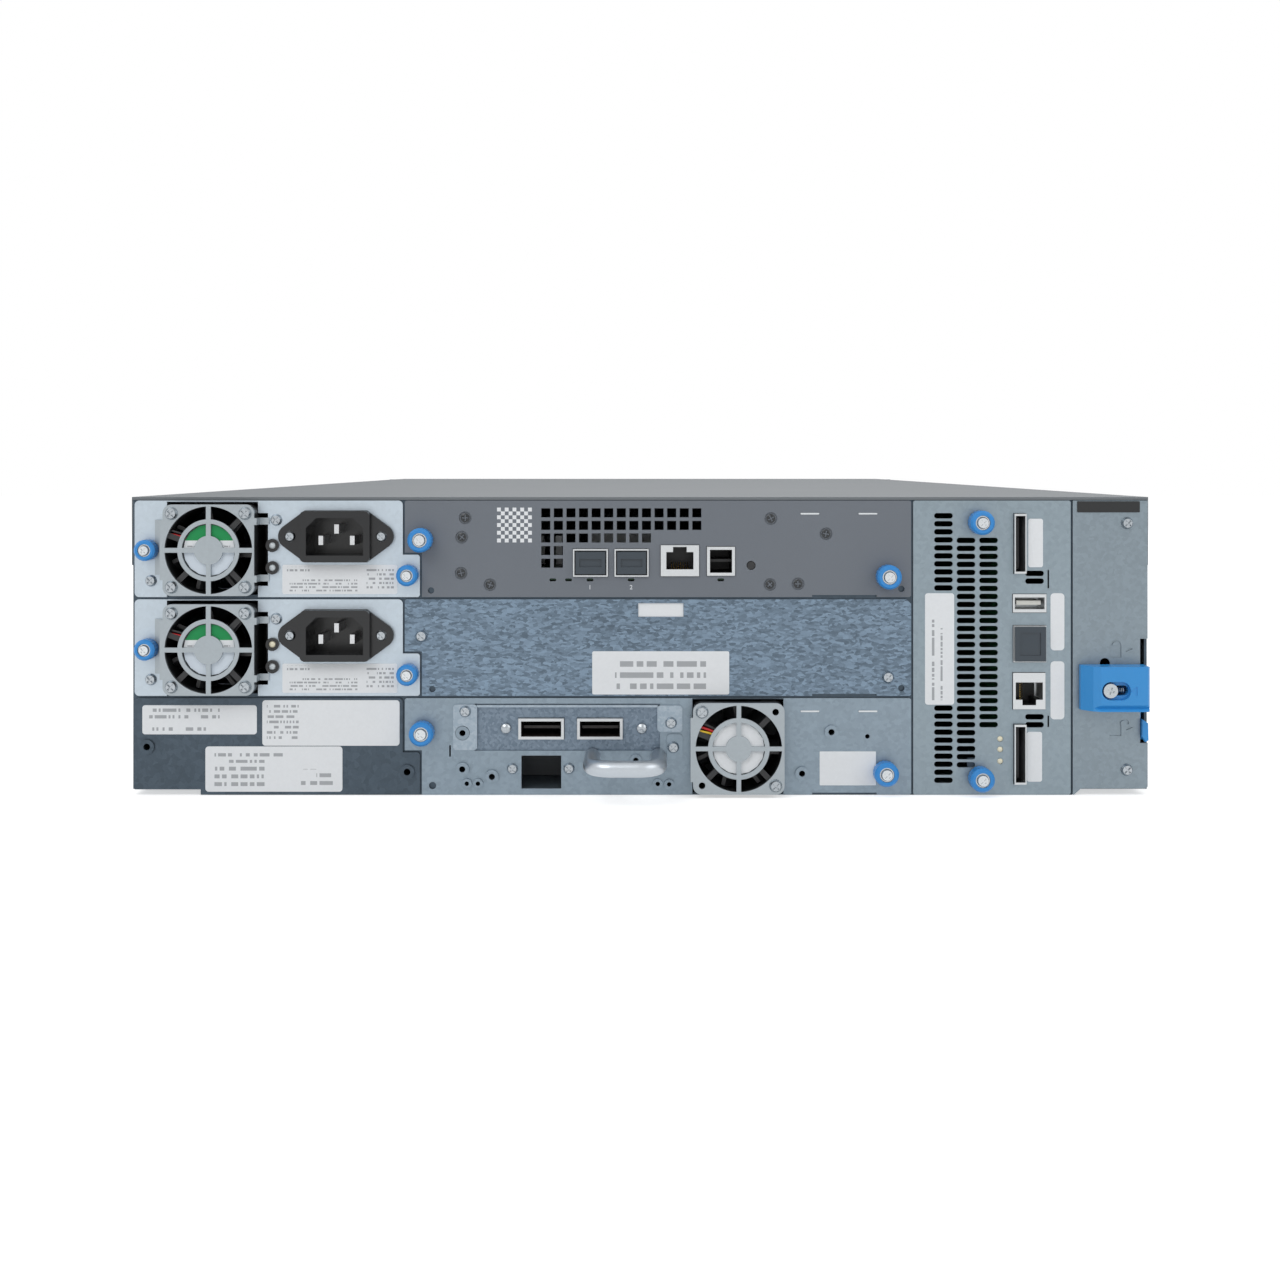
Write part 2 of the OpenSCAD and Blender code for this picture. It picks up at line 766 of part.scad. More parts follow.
// Punched padlock signs: body, shackle ring and the arrow beside them
module padlock(x, z, open_shackle) {
    at_depth(-1, plate_t * 0.4) {
        rect(x, z, x + 5.1, z + 5.3);
        translate([x + 2.55 + (open_shackle ? 3.6 : 0), z + 5.3])
            difference() {
                circle(2.4);
                circle(1.4);
                translate([-3, -6])
                    square([6, 6]);
            }
        polygon([[x + 7.1, z + 2.4], [x + 10.2, z + 3.7], [x + 8.3, z + 4.5]]);
    }
}

module lock_panel() {
    bottom = floor_step + 0.4;
    color("#88959e")
        difference() {
            at_depth(0, plate_t)
                difference() {
                    polygon([[lock_x0, row_z0], [lock_x0 + 0.6, row_z0], [lock_x0 + 3.6, bottom],
                             [lock_x1 - 0.8, bottom], [lock_x1, bottom + 0.8], [lock_x1, row_z(2) + row_h],
                             [lock_x0, row_z(2) + row_h]]);
                    rect(lock_slot_x, lock_slot_z[0], lock_x1 + 1, lock_slot_z[1]);
                    // Slot that the lock carriage's pin rides in
                    obround(lock_pin_x - lock_pin_r - guide, lock_pin_z - lock_pin_r - guide,
                            2 * (lock_pin_r + guide), 2 * (lock_pin_r + guide) + lock_rise);
                    for (p = lock_screws)
                        dot(p[0], p[1], shank_r + run_fit);
                }
            padlock(lock_x1 - 16.7, 60.6, false);
            padlock(lock_x1 - 16.7, 26.1, true);
        }
}

module front_bezel() {
    color("#2b2e31")
        difference() {
            union() {
                at_depth(bezel_d0, case_d - 2)
                    round_rect(-half_w + 0.5, 0.5, half_w - 0.5, body_h - 0.2, 3);
                // Raised centre field between the magazine doors
                at_depth(case_d - 2 - eps, case_d)
                    round_rect(-door_x1 + 4, 3, door_x1 - 4, body_h - 3, 3);
            }
            at_depth(bezel_d0 - 1, case_d + 1)
                for (s = [-1, 1])
                    rect(s > 0 ? door_x1 : -half_w + 4, door_z0, s > 0 ? half_w - 4 : -door_x1, door_z1);
            block(-panel_x - cut, case_d - 6, panel_z0 - cut, panel_x + cut, case_d + 1, panel_z1 + cut);
            // Intake louvres below the operator panel
            at_depth(bezel_d0 - 1, case_d + 1)
                for (i = [-9 : 9])
                    obround(i * 8 - 1.5, 9, 3, 14);
        }
}

status_lights = [for (i = [0 : 4]) [-46 + i * 11, 42]];
front_usb = [16, 38.5, 30, 45.5];

module operator_panel() {
    color("#3a3f44")
        difference() {
            union() {
                block(-panel_x, case_d - 6 + seat, panel_z0, panel_x, case_d - 1.5, panel_z1);
                // Display glass
                block(-56, case_d - 2, 54, 56, case_d - 0.8, 104);
                // Socket body behind the plate
                block(front_usb[0] - 1, case_d - 5.8, front_usb[1] - 1, front_usb[2] + 1, case_d - 1.2,
                      front_usb[3] + 1);
                at_depth(case_d - 2, case_d - 0.9)
                    for (p = status_lights)
                        dot(p[0], p[1], 1.6);
            }
            block(front_usb[0], case_d - 5.2, front_usb[1], front_usb[2], case_d + 1, front_usb[3]);
            at_depth(case_d - 4.5, case_d + 1)
                dot(button_at[0], button_at[1], button_r + guide);
        }
}

button_travel = 1.2;

module power_button() {
    color("#c9ced2")
        difference() {
            at_depth(case_d - 4.5 + button_travel + guide, case_d - 0.8)
                dot(button_at[0], button_at[1], button_r);
            at_depth(case_d - 1.1, case_d)
                difference() {
                    dot(button_at[0], button_at[1], 3);
                    dot(button_at[0], button_at[1], 2.2);
                }
        }
}

module backplane() {
    z0 = row_z(1) + 3;
    color("#2f6b45") {
        at_depth(board_d, board_d + pcb_t) {
            rect(-half_w + 3, z0, psu_x1, tray_top - 2);
            rect(-half_w + 3, row_z(2) + 3, ctl_x1 - 4, tray_top - 2);
        }
        // Sockets that the modules plug into
        for (i = [1, 2])
            block(psu_body_x0 + 20, module_end + 0.4, row_z(i) + 14, psu_body_x1 - 20, board_d + eps,
                  row_z(i) + 26);
        block(-40, module_end + 0.4, row_z(2) + 14, 50, board_d + eps, row_z(2) + 24);
    }
}

module chassis_screws() {
    color("#c4cacd") {
        for (p = concat(lock_screws, frame_cover_screws))
            pan_screw(p[0], p[1], 0, r = 2.7);
        // Cover screws along both sides
        for (s = [-1, 1], d = [60 : 180 : 780])
            translate([s * cover_x, rear_y + d, body_h - cover_flange_h + 8])
                rotate([0, s * 90, 0])
                    cylinder(h = 1.2, r1 = 2.8, r2 = 2.2);
    }
}

// ---------- power supplies ----------

module psu_case(i) {
    z = row_z(i);
    fz = z + psu_fan_dz;
    half = fan_side / 2 + cut;
    iw = 14;
    ih = 10;
    color("#9aa3a9")
        difference() {
            union() {
                at_depth(0, plate_t)
                    psu_outline(z);
                difference() {
                    block(psu_body_x0, plate_t - eps, z + body_up, psu_body_x1, module_end, z + body_top);
                    block(psu_body_x0 + case_t, -1, z + body_up + case_t, psu_body_x1 - case_t,
                          module_end - case_t, z + body_top - case_t);
                }
            }
            // Fan bay, open above, below and at the side of the fan
            block(psu_fan_x - half, -1, fz - half - 1, psu_fan_x + half, fan_seat_d + fan_d + 1, fz + half + 1);
            block(psu_fan_x, -1, fz - 16, psu_fan_x + half + 4.4, plate_t + 1, fz + 16);
            at_depth(-1, plate_t + 1) {
                rect(inlet_x - iw - cut, z + inlet_dz - ih - cut, inlet_x + iw + cut, z + inlet_dz + ih + cut);
                for (k = [-1, 1])
                    dot(inlet_x + k * inlet_screw_span / 2, z + inlet_dz, shank_r + run_fit);
                for (dz = pipe_dz)
                    dot(pipe_x, z + dz, 1.9 + run_fit);
                thumb_hole(psu_thumb_l, z);
                thumb_hole(psu_thumb_r, z);
                for (p = psu_face_screws)
                    dot(p[0], z + p[1], shank_r + run_fit);
            }
            // Air slots at the inner end
            at_depth(module_end - 2, module_end + 1)
                for (k = [0 : 9])
                    for (dz = [5, 30])
                        obround(psu_body_x0 + 10 + k * 8.4, z + dz, 5.6, 3);
        }
}

// Mains inlet: drilled flange, raised mouth, chamfered socket and three blades
module psu_inlet(i) {
    z = row_z(i) + inlet_dz;
    ear = inlet_screw_span / 2;
    mouth_d = -5;
    color("#26282a") {
        difference() {
            union() {
                at_depth(-1.8, 0)
                    translate([inlet_x, z]) {
                        polygon([[-ear - 3.6, 4], [-13.6, 11.4], [13.6, 11.4], [ear + 3.6, 4],
                                 [ear + 3.6, -4], [13.6, -11.4], [-13.6, -11.4], [-ear - 3.6, -4]]);
                        for (k = [-1, 1])
                            dot(k * ear, 0, 5.35);
                    }
                at_depth(mouth_d, -1.8 + eps)
                    round_rect(inlet_x - 15.3, z - 11.2, inlet_x + 15.3, z + 11.2, 2.4);
                block(inlet_x - 14, -1, z - 10, inlet_x + 14, 20, z + 10);
            }
            at_depth(mouth_d - 1, 15)
                translate([inlet_x, z])
                    polygon([[-12.5, -8.2], [12.5, -8.2], [12.5, 3.8], [8, 8.2], [-8, 8.2], [-12.5, 3.8]]);
            at_depth(-3, 1)
                for (k = [-1, 1])
                    dot(inlet_x + k * ear, z, shank_r + run_fit);
        }
        for (p = [[0, 3.2], [-6.9, -1.8], [6.9, -1.8]])
            block(inlet_x + p[0] - 1, 0, z + p[1] - 2, inlet_x + p[0] + 1, 15 + eps, z + p[1] + 2);
        // Light-pipe collars beside the inlet
        for (dz = pipe_dz)
            difference() {
                union() {
                    at_depth(-1.3, 0)
                        dot(pipe_x, row_z(i) + dz, 2.9);
                    at_depth(-1, 6)
                        dot(pipe_x, row_z(i) + dz, 1.9);
                }
                at_depth(-2, -0.7)
                    dot(pipe_x, row_z(i) + dz, 1.6);
            }
    }
}

module psu_fan_guard(i) {
    z = row_z(i) + psu_fan_dz;
    half = fan_side / 2;
    color("#a2a9ad") {
        fan_guard_plate(psu_fan_x, z, 19.1 - eps, [13.5, 11.6], 6.3, 2.1);
        // Bracket folded back to the face plate on the left, hooks on the right
        block(psu_fan_x - half - 1.4, guard_d0, z - 13, psu_fan_x - half + 0.2, fan_seat_d, z + 13);
        block(psu_fan_x - half - 1.4, guard_d0, z - 13, psu_fan_x - half - 0.2, 0, z + 13);
        at_depth(-1, 0)
            difference() {
                rect(psu_fan_x - half - 5.2, z - 11, psu_fan_x - half - 0.3, z + 13);
                dot(psu_thumb_l[0], row_z(i) + psu_thumb_l[1], small_knob_r + guide);
            }
        for (dz = [-14, 11]) {
            block(psu_fan_x + half - 0.2, guard_d0, z + dz, psu_fan_x + half + 1.2, fan_seat_d, z + dz + 3);
            block(psu_fan_x + half + 0.2, guard_d0, z + dz, psu_fan_x + half + 1.2, 0, z + dz + 3);
            block(psu_fan_x + half + 0.3, -0.8, z + dz, psu_fan_x + half + 5.2, 0, z + dz + 3);
        }
    }
}

module psu_screws(i) {
    z = row_z(i);
    color("#c4cacd") {
        fan_screws(psu_fan_x, z + psu_fan_dz, [[-1, -1], [-1, 1], [1, -1], [1, 1]]);
        for (p = psu_face_screws)
            pan_screw(p[0], z + p[1], 0, r = 2.6, shank = plate_t);
        for (k = [-1, 1])
            pan_screw(inlet_x + k * inlet_screw_span / 2, z + inlet_dz, -1.8, r = 2.4, shank = 4);
    }
}

// ---------- network bridge ----------

vent_pitch = 5.53;
vent_side = 4;
// Each row of square vents: how many columns it has
vent_rows = [13, 13, 9, 2, 2];

function bridge_port(p) = shift(p, bay_x0, row_z(2));

module bridge_case() {
    z = row_z(2);
    color("#6a7079") {
        difference() {
            union() {
                at_depth(0, plate_t)
                    bay_outline(z);
                bay_body(z, false);
            }
            at_depth(-1, plate_t + 0.5) {
                for (r = [0 : len(vent_rows) - 1], c = [0 : vent_rows[r] - 1])
                    rect(bay_x0 + 59.9 + c * vent_pitch, z + 35 - r * vent_pitch,
                         bay_x0 + 59.9 + c * vent_pitch + vent_side, z + 35 - r * vent_pitch + vent_side);
                for (p = [sfp_1, sfp_2, service_port, sas_out])
                    port_hole(bridge_port(p));
                for (x = [65, 71.9, 81.3, 99.4, 138.8])
                    obround(bay_x0 + x - 1.5, z + 6.9, 3, 1.3);
                dot(bay_x0 + reset_at[0], z + reset_at[1], 2);
                thumb_hole(bridge_thumb_l, z);
                thumb_hole(bridge_thumb_r, z);
                dot(bay_x0 + 11.5, z + 2.9, 1.4);
                dot(bay_x1 - 4.3, z + 3.6, 1.4);
                bay_slits(z);
            }
            // Countersinks of the case screws
            for (p = bridge_screws)
                at_depth(-1, plate_t / 2)
                    dot(bay_x0 + p[0], z + p[1], 2.8);
        }
        // Screw heads in their countersinks
        for (p = bridge_screws)
            at_depth(0.1, plate_t)
                dot(bay_x0 + p[0], z + p[1], 2.1);
        // Pillars that the board stands on
        for (x = [bay_body_x0 + 12, bay_body_x1 - 12], d = [30, module_end - 30])
            translate([x, rear_y + d, z + body_up + case_t - eps])
                cylinder(h = bridge_pcb_z - pcb_t - body_up - case_t, r = 3);
    }
}

module bridge_board() {
    z = row_z(2);
    sas = bridge_port(sas_out);
    color("#3b7a52")
        block(bay_body_x0 + 4, plate_t + 1.5, z + bridge_pcb_z - pcb_t, bay_body_x1 - 4, module_end - 6,
              z + bridge_pcb_z);
    color("#c3c8cb") {
        for (p = [sfp_1, sfp_2])
            port_cage(bridge_port(p), -1, 46, [0.6, 0.6, 0.6], 44);
        jack(bridge_port(service_port), 1);
        port_cage(sas, -0.6, 26, [1.3, 1.3, 1.3], 24);
        block(sas[0] + 1, 6, (sas[1] + sas[3]) / 2 - 0.6, sas[2] - 1, 25, (sas[1] + sas[3]) / 2 + 0.6);
        // Heat sinks on the processor and the port chip
        for (q = [[20, 90, 50], [110, 80, 36]])
            for (f = [0 : 5])
                block(bay_x0 + q[0] + f * q[2] / 6, q[1], z + bridge_pcb_z - eps, bay_x0 + q[0] + f * q[2] / 6 + 3,
                      q[1] + 50, z + bridge_pcb_z + 14);
        // Reset switch behind its button
        block(bay_x0 + reset_at[0] - 3, 9.4, z + bridge_pcb_z - eps, bay_x0 + reset_at[0] + 3, 14,
              z + reset_at[1] + 3);
        block(-30, module_end - 14, z + bridge_pcb_z - eps, 40, module_end - 6, z + bridge_pcb_z + 9);
    }
}

// Dust plug of an optical transceiver cage
module sfp_plug(p) {
    q = grow(bridge_port(p), -0.6 - cut);
    color("#3c4145")
        difference() {
            union() {
                block(q[0], 0.3, q[1], q[2], 16, q[3]);
                block(q[0] + 0.4, -2.2, q[1] + 0.4, q[2] - 0.4, 0.3 + eps, q[3] - 0.4);
            }
            block(q[0] + 2, -3, q[1] + 3.5, q[2] - 2, -1.4, q[3] - 3.5);
        }
}

module reset_button() {
    color("#1c1e20")
        at_depth(0.4, 7.7)
            dot(bay_x0 + reset_at[0], row_z(2) + reset_at[1], 1.7);
}

// ---------- tape drive sled ----------

function sled_x(x) = bay_x0 + x;

module sled_case() {
    z = row_z0;
    fx = sled_fan_x;
    fz = z + sled_fan_dz;
    half = fan_side / 2 + cut;
    color("#8a97a2")
        difference() {
            union() {
                at_depth(0, plate_t)
                    bay_outline(z);
                bay_body(z, true);
                at_depth(-1, eps)
                    for (b = sled_bushes)
                        dot(sled_x(b[0]), z + b[1], b[2]);
                // Tab that the drive's connector bracket is screwed to, beside the fan
                at_depth(-0.8, eps)
                    round_rect(sled_x(115.1), z + 15.7, sled_x(122), z + 26.7, 1.6);
            }
            block(fx - half, -1, fz - half - 1, fx + half, fan_seat_d + fan_d + 1, fz + half + 1);
            at_depth(-2, plate_t + 1) {
                rect(sled_x(sas_recess[0]), z + sas_recess[1], sled_x(sas_recess[2]), z + sas_recess[3]);
                rect(sled_x(51.2), z + 2.7, sled_x(68.7), z + 17.2);
                for (b = sled_bushes)
                    dot(sled_x(b[0]), z + b[1], b[2] * 0.45);
                thumb_hole(sled_thumb_l, z);
                thumb_hole(sled_thumb_r, z);
                for (k = [-1, 1])
                    dot(sled_x(handle_x) + k * (handle_w / 2 - handle_bar_r), handle_z, 2.5 + run_fit);
                for (p = concat(sled_studs, bracket_screws))
                    dot(sled_x(p[0]), z + p[1], shank_r + run_fit);
                dot(sled_x(12.2), z + 4, 1.6);
                dot(sled_x(203.2), z + 25.6, 1);
                rect(sled_x(19.5), z + 16.7, sled_x(20.2), z + 21.7);
                bay_slits(z);
            }
        }
}

// Bracket with the two drive data sockets, set back in the sled's window
module sas_bracket() {
    z = row_z0;
    x0 = sled_x(sas_recess[0]);
    x1 = sled_x(sas_recess[2]);
    color("#7f8e9c") {
        difference() {
            union() {
                at_depth(plate_t, plate_t + 1)
                    rect(x0 - 2, z + sas_recess[1] - 2, x1 + 2, z + sas_recess[3] - 0.2);
                // Folded strip along the top of the window
                block(x0 + 1, -0.3, z + sas_recess[3] - 1.6, x1 - 1, plate_t + eps, z + sas_recess[3] - 0.6);
                // Ears on the face, left and right of the window
                at_depth(-0.8, 0) {
                    round_rect(sled_x(21.3), z + 19.7, x0 + 1.2, z + 39.7, 1.5);
                    round_rect(x1 - 1.2, z + 27.7, sled_x(121.9), z + 39.3, 1.5);
                }
                block(x0 + 0.2, -0.8, z + 20.5, x0 + 1.2, plate_t + eps, z + 38);
                block(x1 - 1.2, -0.8, z + 28.5, x1 - 0.2, plate_t + eps, z + 38);
            }
            at_depth(-2, plate_t + 2) {
                for (x = sas_ports)
                    port_hole([sled_x(x), z + sas_port_z0, sled_x(x) + sas_port_w, z + sas_port_z0 + sas_port_h]);
                for (p = [bracket_screws[0], bracket_screws[1]])
                    dot(sled_x(p[0]), z + p[1], shank_r + run_fit);
                dot(sled_x(sled_bushes[0][0]), z + sled_bushes[0][1], sled_bushes[0][2] + cut);
                for (k = [-1, 1])
                    dot(sled_x(handle_x) + k * (handle_w / 2 - handle_bar_r), handle_z, 2.5 + guide);
            }
        }
        // Rivets of the socket carrier
        for (x = [44.3, 104.1])
            at_depth(plate_t - 1, plate_t + eps)
                dot(sled_x(x), z + 29, 2.3);
        for (x = sas_ports)
            sas_socket(sled_x(x), z + sas_port_z0);
    }
}

module sas_socket(x, z) {
    cx = x + sas_port_w / 2;
    cz = z + sas_port_h / 2;
    port_cage([x, z, x + sas_port_w, z + sas_port_h], -0.9, 27, [1.2, 1.2, 1.2], 22);
    block(x + 2, 5.5, cz - 0.6, x + sas_port_w - 2, 22 + eps, cz + 0.6);
    // Latch bridge on the cage, that seats it in the bracket
    block(cx - 4, plate_t + 1, z + sas_port_h - eps, cx + 4, 12, z + sas_port_h + 1.4);
}

module tape_drive() {
    z0 = row_z0 + body_up + case_t + cut;
    z1 = row_z0 + body_top - case_t - cut;
    d1 = module_end - 1;
    color("#5d6368")
        difference() {
            union() {
                block(-drive_w / 2, drive_d0, z0, drive_w / 2, d1 - 12, z1);
                block(-drive_w / 2 + 2, d1 - 13, z0 + 1, drive_w / 2 - 2, d1, z1 - 0.5);
            }
            block(-mouth_w / 2, d1 - 112, mouth_z0, mouth_w / 2, d1 + 1, mouth_z1);
            // Funnel at the mouth
            for (s = [-1, 1])
                translate([s * mouth_w / 2, rear_y + d1, mouth_z0])
                    rotate(45)
                        translate([-2, -2, 0])
                            cube([4, 4, mouth_z1 - mouth_z0]);
        }
}

// Bar bent to a U, with a threaded end in each foot
module sled_handle() {
    leg = handle_w / 2 - handle_bar_r;
    reach = handle_out - handle_bar_r - handle_bend_r;
    cx = sled_x(handle_x);
    color("#aeb5b9")
        translate([cx, rear_y, handle_z]) {
            for (s = [-1, 1]) {
                translate([s * leg, 0, 0])
                    rotate([90, 0, 0])
                        cylinder(h = reach, r = handle_bar_r);
                translate([s * leg, plate_t + 3, 0])
                    rotate([90, 0, 0])
                        cylinder(h = plate_t + 3 + eps, r = 2.5);
                translate([s * (leg - handle_bend_r), -reach, 0])
                    rotate(s > 0 ? -90 : 180)
                        rotate_extrude(angle = 90)
                            translate([handle_bend_r, 0])
                                circle(handle_bar_r);
            }
            translate([-leg + handle_bend_r, -reach - handle_bend_r, 0])
                rotate([0, 90, 0])
                    cylinder(h = 2 * (leg - handle_bend_r), r = handle_bar_r);
        }
}

module sled_fan_guard() {
    z = row_z0 + sled_fan_dz;
    half = fan_side / 2;
    color("#a2a9ad") {
        fan_guard_plate(sled_fan_x, z, 18.8, [13.4, 11.4], 5.6, 2);
        block(sled_fan_x - half - 1.2, guard_d0, z - 14.5, sled_fan_x - half + 0.2, fan_seat_d, z + 13.5);
        block(sled_fan_x - half - 1.2, guard_d0, z - 14.5, sled_fan_x - half - 0.3, 0, z + 13.5);
    }
}

module sled_screws() {
    z = row_z0;
    color("#c4cacd") {
        fan_screws(sled_fan_x, z + sled_fan_dz, [[-1, 1], [1, -1]]);
        for (p = bracket_screws)
            pan_screw(sled_x(p[0]), z + p[1], -0.8, r = 2.6);
        for (p = sled_studs)
            pan_screw(sled_x(p[0]), z + p[1], 0, r = 2.5);
    }
}

// ---------- controller ----------

function ctl_port(p) = shift(p, ctl_x0, 0);

module controller_panel() {
    w = module_port[1];
    h = module_port[2];
    x = ctl_x0 + module_port[0];
    color("#98a3ac") {
        at_depth(0, plate_t)
            difference() {
                round_rect(ctl_x0, row_z0, ctl_x1, row_z(2) + row_h, 1);
                for (c = slot_columns, k = [0 : c[2] - 1])
                    obround(ctl_x0 + c[0], c[1] - k * slot_pitch, slot_w, slot_h);
                for (z = [97.5, 94.1, 34.5, 31])
                    obround(ctl_x0 + 49.2, z - slot_h / 2, slot_w, slot_h);
                for (p = [usb_port, diag_port, mgmt_port])
                    port_hole(ctl_port(p));
                for (z = module_ports)
                    port_hole([x, z, x + w, z + h]);
                for (z = [[91, 8], [30, 5]])
                    rect(ctl_x0 + 59, z[0], ctl_x0 + 59.7, z[0] + z[1]);
                for (z = [24.8, 20.2, 15])
                    dot(ctl_x0 + 38.2, z, 1.3);
                for (z = [ctl_thumb_dz - 1.9, body_h - ctl_thumb_dz - 1.4])
                    dot(ctl_thumb_x, z, thumb_shaft_r + run_fit);
            }
        // Angles that carry the board
        for (z = [56, 88])
            block(ctl_board_x - 1.8, plate_t - eps, z, ctl_board_x - 0.2, 16, z + 9);
    }
}

module controller_board() {
    x = ctl_x0 + module_port[0];
    w = module_port[1];
    h = module_port[2];
    usb = ctl_port(usb_port);
    color("#3b7a52")
        block(ctl_board_x - 0.2, plate_t + 1.5, row_z0 + 4, ctl_board_x + 1.4, ctl_board_d, body_h - 6);
    color("#c3c8cb") {
        for (z = module_ports) {
            port_cage([x, z, x + w, z + h], -2.2, 18, [0.5, 0.9, 0.9], 14);
            block(x + w / 2 - 0.6, 3.6, z + 2, x + w / 2 + 0.6, 15, z + h - 2);
            block(ctl_board_x + 1, plate_t + 1, z + 2, x + eps, 18, z + h - 2);
        }
        port_cage(usb, -0.5, 15, [0.8, 1.4, 1.4], 12);
        block(usb[0] + 2, 1.5, usb[1] + 3.2, usb[2] - 2, 13, usb[1] + 5);
        jack(ctl_port(mgmt_port), -1);
        jack(ctl_port(diag_port), -1);
        for (p = [usb_port, mgmt_port, diag_port])
            block(ctl_board_x + 1, 3, ctl_port(p)[1] + 1, ctl_port(p)[0] + eps, 14, ctl_port(p)[3] - 1);
    }
}

// Dust plug of the diagnostic jack
module diag_plug() {
    p = ctl_port(diag_port);
    cx = (p[0] + p[2]) / 2;
    cz = (p[1] + p[3]) / 2;
    color("#4a4f53") {
        block(cx - 5.7, -0.9, cz - 3.5, cx + 5.7, 9, cz + 3.5);
        difference() {
            block(p[0] + 0.4, -2.2, p[1] + 0.4, p[2] - 0.4, -0.8 - seat, p[3] - 0.4);
            block(cx - 4.5, -3, cz - 5, cx + 4.5, -1.7, cz + 5);
        }
    }
}

// ---------- safety lock ----------

lock_slot_l = 10.4;

module lock_carriage() {
    d0 = plate_t + guide;
    color("#2f7fc4") {
        at_depth(d0, d0 + lock_carrier_t)
            round_rect(lock_block_x0 + 2.5, lock_block_z0 + 1, lock_x1 - 3, lock_block_z0 + lock_block_h - 1, 1);
        // Arm down to the finger tail in the edge slot
        at_depth(d0, d0 + lock_carrier_t)
            rect(lock_x1 - 9, 24.5, lock_x1 - 2.6, lock_block_z0 + 2);
        at_depth(d0, d0 + lock_carrier_t)
            rect(lock_x1 - 4, 24.5, lock_x1 - 1.6, 33);
        at_depth(-0.5, d0 + eps)
            rect(lock_slot_x + guide, 26, lock_x1 - 1.6, 32);
        at_depth(-2.5, plate_t - seat)
            polygon([[lock_slot_x + guide, 26], [lock_slot_x + guide, 33.8], [lock_x1 - 0.6, 32],
                     [lock_x1 - 0.4, 24.6], [lock_x1 - 1.6, 23.8]]);
    }
    // Shoulder screw through the panel slot and the block
    color("#c4cacd") {
        at_depth(-lock_block_out + 2.2, d0 + eps)
            dot(lock_pin_x, lock_pin_z, lock_pin_r);
        difference() {
            translate([lock_pin_x, rear_y - lock_block_out + 2.3, lock_pin_z])
                rotate([90, 0, 0])
                    cylinder(h = 1.6, r1 = 3.6, r2 = 3.1);
            for (a = [20, 110])
                translate([lock_pin_x, rear_y - lock_block_out + 0.7, lock_pin_z])
                    rotate([0, a, 0])
                        cube([3.2, 1.4, 0.8], center = true);
        }
    }
}

module lock_slider() {
    x0 = lock_block_x0;
    x1 = x0 + lock_block_w;
    z0 = lock_block_z0;
    z1 = z0 + lock_block_h;
    bevel = 4;
    sx = lock_pin_x - lock_pin_r - guide;
    color("#3d8ed0")
        difference() {
            at_height_profile(z0, z1)
                polygon([[x0, -guide], [x0, -3], [x0 + bevel, -lock_block_out + 1.6], [x0 + 7, -lock_block_out],
                         [x1 - 1, -lock_block_out], [x1, -lock_block_out + 1], [x1, -guide]]);
            // Chamfered top and bottom edges
            for (k = [[z0, 1], [z1, -1]])
                translate([x0 - 1, rear_y - lock_block_out, k[0]])
                    rotate([45, 0, 0])
                        cube([lock_block_w + 2, 2, 2]);
            // Round counterbore for the screw head, and the slot it slides in
            at_depth(-lock_block_out - 1, -lock_block_out + 2.5)
                round_rect(lock_pin_x - 4, lock_pin_z - 4, lock_pin_x + 4 + lock_push + 0.5, lock_pin_z + 4, 3.9);
            at_depth(-lock_block_out - 1, 1)
                obround(sx, lock_pin_z - lock_pin_r - guide, lock_slot_l, 2 * (lock_pin_r + guide));
            // Raised-edge arrow on the pushing field
            at_depth(-lock_block_out - 1, -lock_block_out + 0.3)
                polygon([[x1 - 8.4, lock_pin_z], [x1 - 5.6, lock_pin_z + 2], [x1 - 5.6, lock_pin_z - 2]]);
        }
}

// Extrudes a plan drawing (x, depth) between two heights
module at_height_profile(z0, z1) {
    translate([0, rear_y, z0])
        linear_extrude(z1 - z0)
            children();
}

// Coil spring between the shoulder screw and the end of the block's slot
spring_wire = 0.3;
spring_r = 1.5;
spring_turns = 6;
spring_sides = 6;
spring_steps = 14;
spring_x0 = lock_pin_x + lock_pin_r + 0.15;
spring_x1 = lock_pin_x - lock_pin_r - guide + lock_slot_l - 1.1;

function spring_point(i, j) = let (
    a = 360 * i / spring_steps,
    n = spring_turns * spring_steps,
    r = spring_r + spring_wire * cos(360 * j / spring_sides),
    x = spring_x0 + spring_wire + (spring_x1 - spring_x0 - 2 * spring_wire) * i / n)
    [x + spring_wire * sin(360 * j / spring_sides), r * cos(a), r * sin(a)];

module lock_spring() {
    n = spring_turns * spring_steps;
    s = spring_sides;
    color("#b9bfc3")
        translate([0, rear_y - lock_block_out / 2 + 0.6, lock_pin_z])
            polyhedron(
                points = [for (i = [0 : n], j = [0 : s - 1]) spring_point(i, j)],
                faces = concat(
                    [[for (j = [s - 1 : -1 : 0]) j]],
                    [for (i = [0 : n - 1], j = [0 : s - 1])
                        [i * s + j, i * s + (j + 1) % s, (i + 1) * s + (j + 1) % s, (i + 1) * s + j]],
                    [[for (j = [0 : s - 1]) n * s + j]]));
}

// ---------- magazines ----------

function column_d(c) = column_d0 + c * column_pitch;
function tier_z(t) = cart_z0 + t * tier_pitch;
// The empty slot of the right-hand magazine: front column, top tier
function is_empty_slot(s, c, t) = s > 0 && c == columns - 1 && t == tiers - 1;

